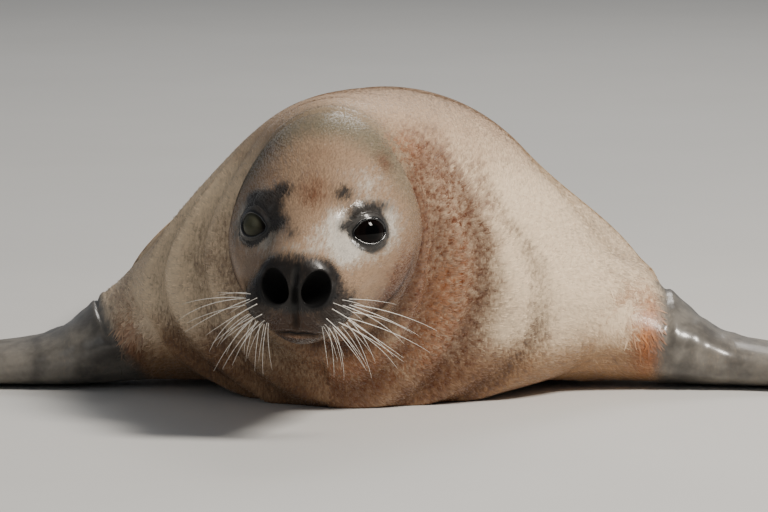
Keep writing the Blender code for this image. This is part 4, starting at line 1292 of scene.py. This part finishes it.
def scatter(weight, count=None):
    """Places spread over the faces by weight: the face of each, and its shares across and down. Without
    a count there is one place for each whole unit of weight."""
    pool = np.concatenate([[0], np.cumsum(weight)])
    count = count or int(pool[-1])
    pick = (np.arange(count) + coat_random.random(count)) * (pool[-1] / count)
    chosen = np.clip(np.searchsorted(pool, pick, side="right") - 1, 0, len(weight) - 1)
    return chosen, coat_random.random(count), coat_random.random(count)


def on_faces(values, chosen, across, down):
    """Values of the skin's points, blended over each chosen face: the bilinear weights of its corners."""
    a, b, c, d = (values[skin["faces"][chosen, k]] for k in range(4))
    if values.ndim > 1:
        across, down = across[:, None], down[:, None]
    near, far = (1 - across) * a + across * b, across * c + (1 - across) * d
    return (1 - down) * near + down * far


def comb(chosen, across, down):
    """The way the hair lies: the surface gradient of the distance along the body, from the two edge
    directions of the face and how that distance grows along each."""
    faces = skin["faces"][chosen]
    a, b, c, d = (skin["point"][faces[:, k]] for k in range(4))
    run = [skin["lie"][faces[:, k], 1] for k in range(4)]
    s, t = across[:, None], down[:, None]
    over_s, over_t = (1 - t) * (b - a) + t * (c - d), (1 - s) * (d - a) + s * (c - b)
    run_s = (1 - down) * (run[1] - run[0]) + down * (run[2] - run[3])
    run_t = (1 - across) * (run[3] - run[0]) + across * (run[2] - run[1])
    ss, st, tt = (over_s**2).sum(1), (over_s * over_t).sum(1), (over_t**2).sum(1)
    weight_s, weight_t = tt * run_s - st * run_t, ss * run_t - st * run_s
    return unit(weight_s[:, None] * over_s + weight_t[:, None] * over_t + 1e-15)


chosen, across, down = scatter(weight)
tuft_count = len(chosen)
root = on_faces(skin["point"], chosen, across, down)
root_rest = on_faces(skin["rest"], chosen, across, down)
root_flat = on_faces(skin["flat"], chosen, across, down)
strip_root = on_strip[chosen]
root_flat[strip_root] = corner_flat[chosen[strip_root]].mean(axis=1)
wraps = np.ptp(skin["flat"][skin["faces"][chosen], 0], axis=1) > 0.5
root_flat[wraps] = skin["flat"][skin["faces"][chosen[wraps], 0]]
root_normal = unit(on_faces(skin_normals, chosen, across, down))
root_way = comb(chosen, across, down)
root_way = unit(root_way - (root_way * root_normal).sum(1)[:, None] * root_normal)
y = root_rest[:, 1]
size = coat_random.uniform(0.8, 1.2, tuft_count)
tuft_length = size * np.interp(
    y,
    [0.01, 0.06, 0.12, 0.17, 0.25, 0.35, 0.60],
    [0.0034, 0.0044, 0.0056, 0.0056, 0.0064, 0.0105, 0.0120],
)
near_crease = np.abs(root_rest[:, 0]) - fore_crease(root_rest[:, 0], root_rest[:, 2])
tuft_length *= 1 - 0.6 * smoothstep(-0.030, -0.004, near_crease) * (region_corner[chosen] == 3)
tuft_fold = on_faces(fold_at, chosen, across, down)
tuft_length *= 1 - 0.55 * tuft_fold
lip_gap = root_rest[:, 2] - mouth_height(root_rest[:, 0], y)
near_mouth = np.exp(-((lip_gap / 0.006) ** 2)) * (1 - smoothstep(0.03, 0.06, y))
tuft_length *= 1 - 0.5 * near_mouth
tuft_width = np.interp(y, [0.01, 0.10, 0.20, 0.40], [0.0007, 0.0009, 0.0011, 0.0013])
tuft_width *= coat_random.uniform(0.8, 1.2, tuft_count)
tuft_sink = np.interp(y, [0.01, 0.10, 0.30], [0.0004, 0.0005, 0.0007])
tuft_sink *= coat_random.uniform(0.4, 1.6, tuft_count)
tuft_sink *= (1 - 0.6 * tuft_fold) * (1 - 0.8 * near_mouth)
swirl = 0.10 * np.sin(root_rest @ (31.0, 17.0, 43.0)) + 0.08 * np.sin(root_rest @ (-67.0, 23.0, 29.0))
tuft_turn = swirl + coat_random.normal(0, 0.13, tuft_count)


def blades(root, normal, way, turn, length, width, sink):
    """Seven points of each lock: left, right and keel at the root and near the middle, and the tip. The
    middle line starts a quarter of a millimetre off the skin, against the normal, and follows the lie of
    the coat. It moves along the normal, into the body, by sink times the share squared."""
    side_way = np.cross(normal, way)
    way = np.cos(turn)[:, None] * way + np.sin(turn)[:, None] * side_way
    side_way = np.cross(normal, way)
    length, width, sink = length[:, None], width[:, None], sink[:, None]

    def section(t, wide):
        middle = root + way * length * t + normal * (sink * t * t - 0.00025)
        return [middle - side_way * width * wide / 2, middle + side_way * width * wide / 2,
                middle + normal * width * wide * 0.14]

    tip = root + way * length + normal * (sink - 0.0001)
    return np.stack([*section(0.0, 0.55), *section(0.5, 1.0), tip], axis=1)


# Faces of one lock (0 left, 1 right, 2 keel at the root; 3, 4, 5 at the middle; 6 tip), and its patch.
blade_faces = np.array(
    [[0, 1, 4, 3], [1, 2, 5, 4], [2, 0, 3, 5], [0, 2, 1, 1], [3, 4, 6, 6], [4, 5, 6, 6], [5, 3, 6, 6]]
)
blade_patch = np.array([[-8, -15], [8, -15], [0, -15], [-15, 0], [15, 0], [0, 0], [0, 15]]) * 1e-4

coat_material, nodes, shader = new_material("seal_coat")
markings_here = add_markings(nodes)
strand = nodes.add("ShaderNodeSeparateXYZ", {0: nodes.attribute("strand").outputs["Vector"]}).outputs
wet = nodes.split(nodes.attribute("marks_wet").outputs["Color"])[0]
# Each lock has its own tint and is lighter at the tip.
light = nodes.plus(nodes.plus(0.78, strand[0], 0.36), strand[1], 0.16)
on_head = nodes.attribute("marks_warm").outputs["Alpha"]
rough = nodes.plus(0.48, nodes.math("MAXIMUM", wet, on_head), -0.20)
rough = nodes.plus(rough, markings_here.outputs["Mottle"], 0.5)
nodes.fill(shader, {
    "Base Color": nodes.mix(1.0, markings_here.outputs["Color"], light, "MULTIPLY"),
    "Roughness": rough, "Sheen Weight": 0.15, "Sheen Roughness": 0.45,
})


def coat_piece(name, points, places, flat, tint):
    """Joins locks to one piece that carries the markings of their roots."""
    count = len(points)
    faces = (7 * np.arange(count)[:, None, None] + blade_faces).reshape(-1, 4)
    patches = flat[:, None] + blade_patch
    piece = mesh_piece(name, points.reshape(-1, 3), faces, patches.reshape(-1, 2)[faces], smooth=False)
    carry_markings(piece, places, 7)
    along = np.tile([0, 0, 0, 0.5, 0.5, 0.5, 1.0], count)
    mark_points(piece, "strand", np.stack([np.repeat(tint, 7), along, 0 * along], axis=1))
    piece.data.materials.append(coat_material)
    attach(piece, "root")
    return piece


lowest = solid_box[0][2] + floor_gap
tuft_points = blades(root, root_normal, root_way, tuft_turn, tuft_length, tuft_width, tuft_sink)
tuft_points[..., 2] = np.maximum(tuft_points[..., 2], lowest)
tuft_share = on_faces(skin["share"], chosen, across, down)
tuft_marks = (root_rest, region_corner[chosen], tuft_share, tuft_fold)
tint = coat_random.random(tuft_count)
tufts_in_piece = 19500
parts = np.array_split(np.argsort(y, kind="stable"), math.ceil(tuft_count / tufts_in_piece))
for number, part in enumerate(parts, 1):
    coat_piece(
        f"coat_{number}", tuft_points[part], [values[part] for values in tuft_marks], root_flat[part],
        tint[part],
    )

# Wet locks lie in the armpits, where the coat is parted by water and rubbed by the flipper.
armpit_side = both_sides(centre)
lock_weight = face_area * bump_at(armpit_side, (0.223, 0.330, 0.056), (0.011, 0.040, 0.024))
lock_weight *= (region_corner != 2) * (armpit_side[:, 0] < 0.233) * (height_over_floor > floor_gap + 0.010)
lock_count = 700
chosen, across, down = scatter(lock_weight, lock_count)
root = on_faces(skin["point"], chosen, across, down)
lock_normal = unit(on_faces(skin_normals, chosen, across, down))
lock_way = comb(chosen, across, down) + (0.0, 0.0, -0.9)
lock_way = unit(lock_way - (lock_way * lock_normal).sum(1)[:, None] * lock_normal)
lock_points = blades(
    root, lock_normal, lock_way, coat_random.normal(0, 0.35, lock_count),
    coat_random.uniform(0.007, 0.014, lock_count), coat_random.uniform(0.0012, 0.0022, lock_count),
    coat_random.uniform(0.0006, 0.0026, lock_count),
)
lock_points[..., 2] = np.maximum(lock_points[..., 2], lowest)
lock_rest = on_faces(skin["rest"], chosen, across, down)
coat_piece(
    "coat_wet_locks", lock_points,
    (lock_rest, region_corner[chosen], share_corner[chosen], fold_corner[chosen]),
    corner_flat[chosen].mean(axis=1), coat_random.random(lock_count),
)

# ------------------------------------------------------------------------------------------------------
# The floor: a wide pale disc under soft light from a large panel at the upper right and a dimmer one
# from the left, with an even glow from all round.
floor_radius, floor_sides = 16.0, 96
step = np.arange(floor_sides)
floor_angle, middle = step * math.tau / floor_sides, np.full(floor_sides, floor_sides)
floor_points = floor_radius * np.stack([np.cos(floor_angle), np.sin(floor_angle), 0 * floor_angle], axis=1)
floor_points = np.concatenate([floor_points, [[0, 0, 0]]]) + (0, 0, solid_box[0][2])
floor = mesh_piece(
    "floor", floor_points, np.stack([step, (step + 1) % floor_sides, middle, middle], axis=1)
)
floor_material, nodes, shader = new_material("pale_floor")
dust = nodes.noise(nodes.add("ShaderNodeTexCoord").outputs["Object"], 3.0, 4.0, 0.6)
dusty = nodes.mix(dust, display(205, 204, 201), display(214, 213, 210))
nodes.fill(shader, {"Base Color": dusty, "Roughness": 0.7})
floor.data.materials.append(floor_material)


def panel_light(name, place, aim, size, power, colour):
    """A square soft light at place, turned so that its own -Z points at aim."""
    lamp = bpy.data.lights.new(name, "AREA")
    lamp.shape, lamp.size, lamp.energy, lamp.color = "SQUARE", size, power, colour
    holder = bpy.data.objects.new(name, lamp)
    holder.location = place
    way = unit(np.array(aim) - np.array(place))
    holder.rotation_euler = (math.acos(-way[2]), 0, math.atan2(way[1], way[0]) - math.pi / 2)
    bpy.context.scene.collection.objects.link(holder)


panel_light("key_light", (2.3, -1.9, 3.0), (0, -0.4, 0.1), 0.9, 215, (1.0, 0.94, 0.86))
panel_light("fill_light", (-2.8, -2.6, 1.4), (0, -0.5, 0.1), 2.0, 6, (0.90, 0.95, 1.0))
panel_light("back_light", (0.6, 2.8, 2.8), (0, 0.0, 0.1), 1.6, 40, (1.0, 0.97, 0.93))
world = bpy.data.worlds.new("studio")
world.use_nodes = True
world.node_tree.nodes["Background"].inputs["Color"].default_value = (0.86, 0.92, 1.0, 1)
world.node_tree.nodes["Background"].inputs["Strength"].default_value = 0.18
bpy.context.scene.world = world

# The camera looks level with the back, from in front and a little above, through a long lens.
view_down = math.radians(7.0)
view_way = np.array([0, math.cos(view_down), -math.sin(view_down)])
view_up = np.array([0, math.sin(view_down), math.cos(view_down)])
view_target = np.array([0, solid_box[0][1] + 0.205, 0])
view_distance, view_rise, view_left = 5.0, 0.1305, (-0.0042, 0, 0)
view_place = view_target - view_distance * view_way + view_rise * view_up + view_left
camera_data = bpy.data.cameras.new("camera")
camera_data.lens, camera_data.sensor_width = 276.6, 36.0
camera = bpy.data.objects.new("camera", camera_data)
camera.location = view_place
camera.rotation_euler = (math.pi / 2 - view_down, 0, 0)
bpy.context.scene.collection.objects.link(camera)
bpy.context.scene.camera = camera
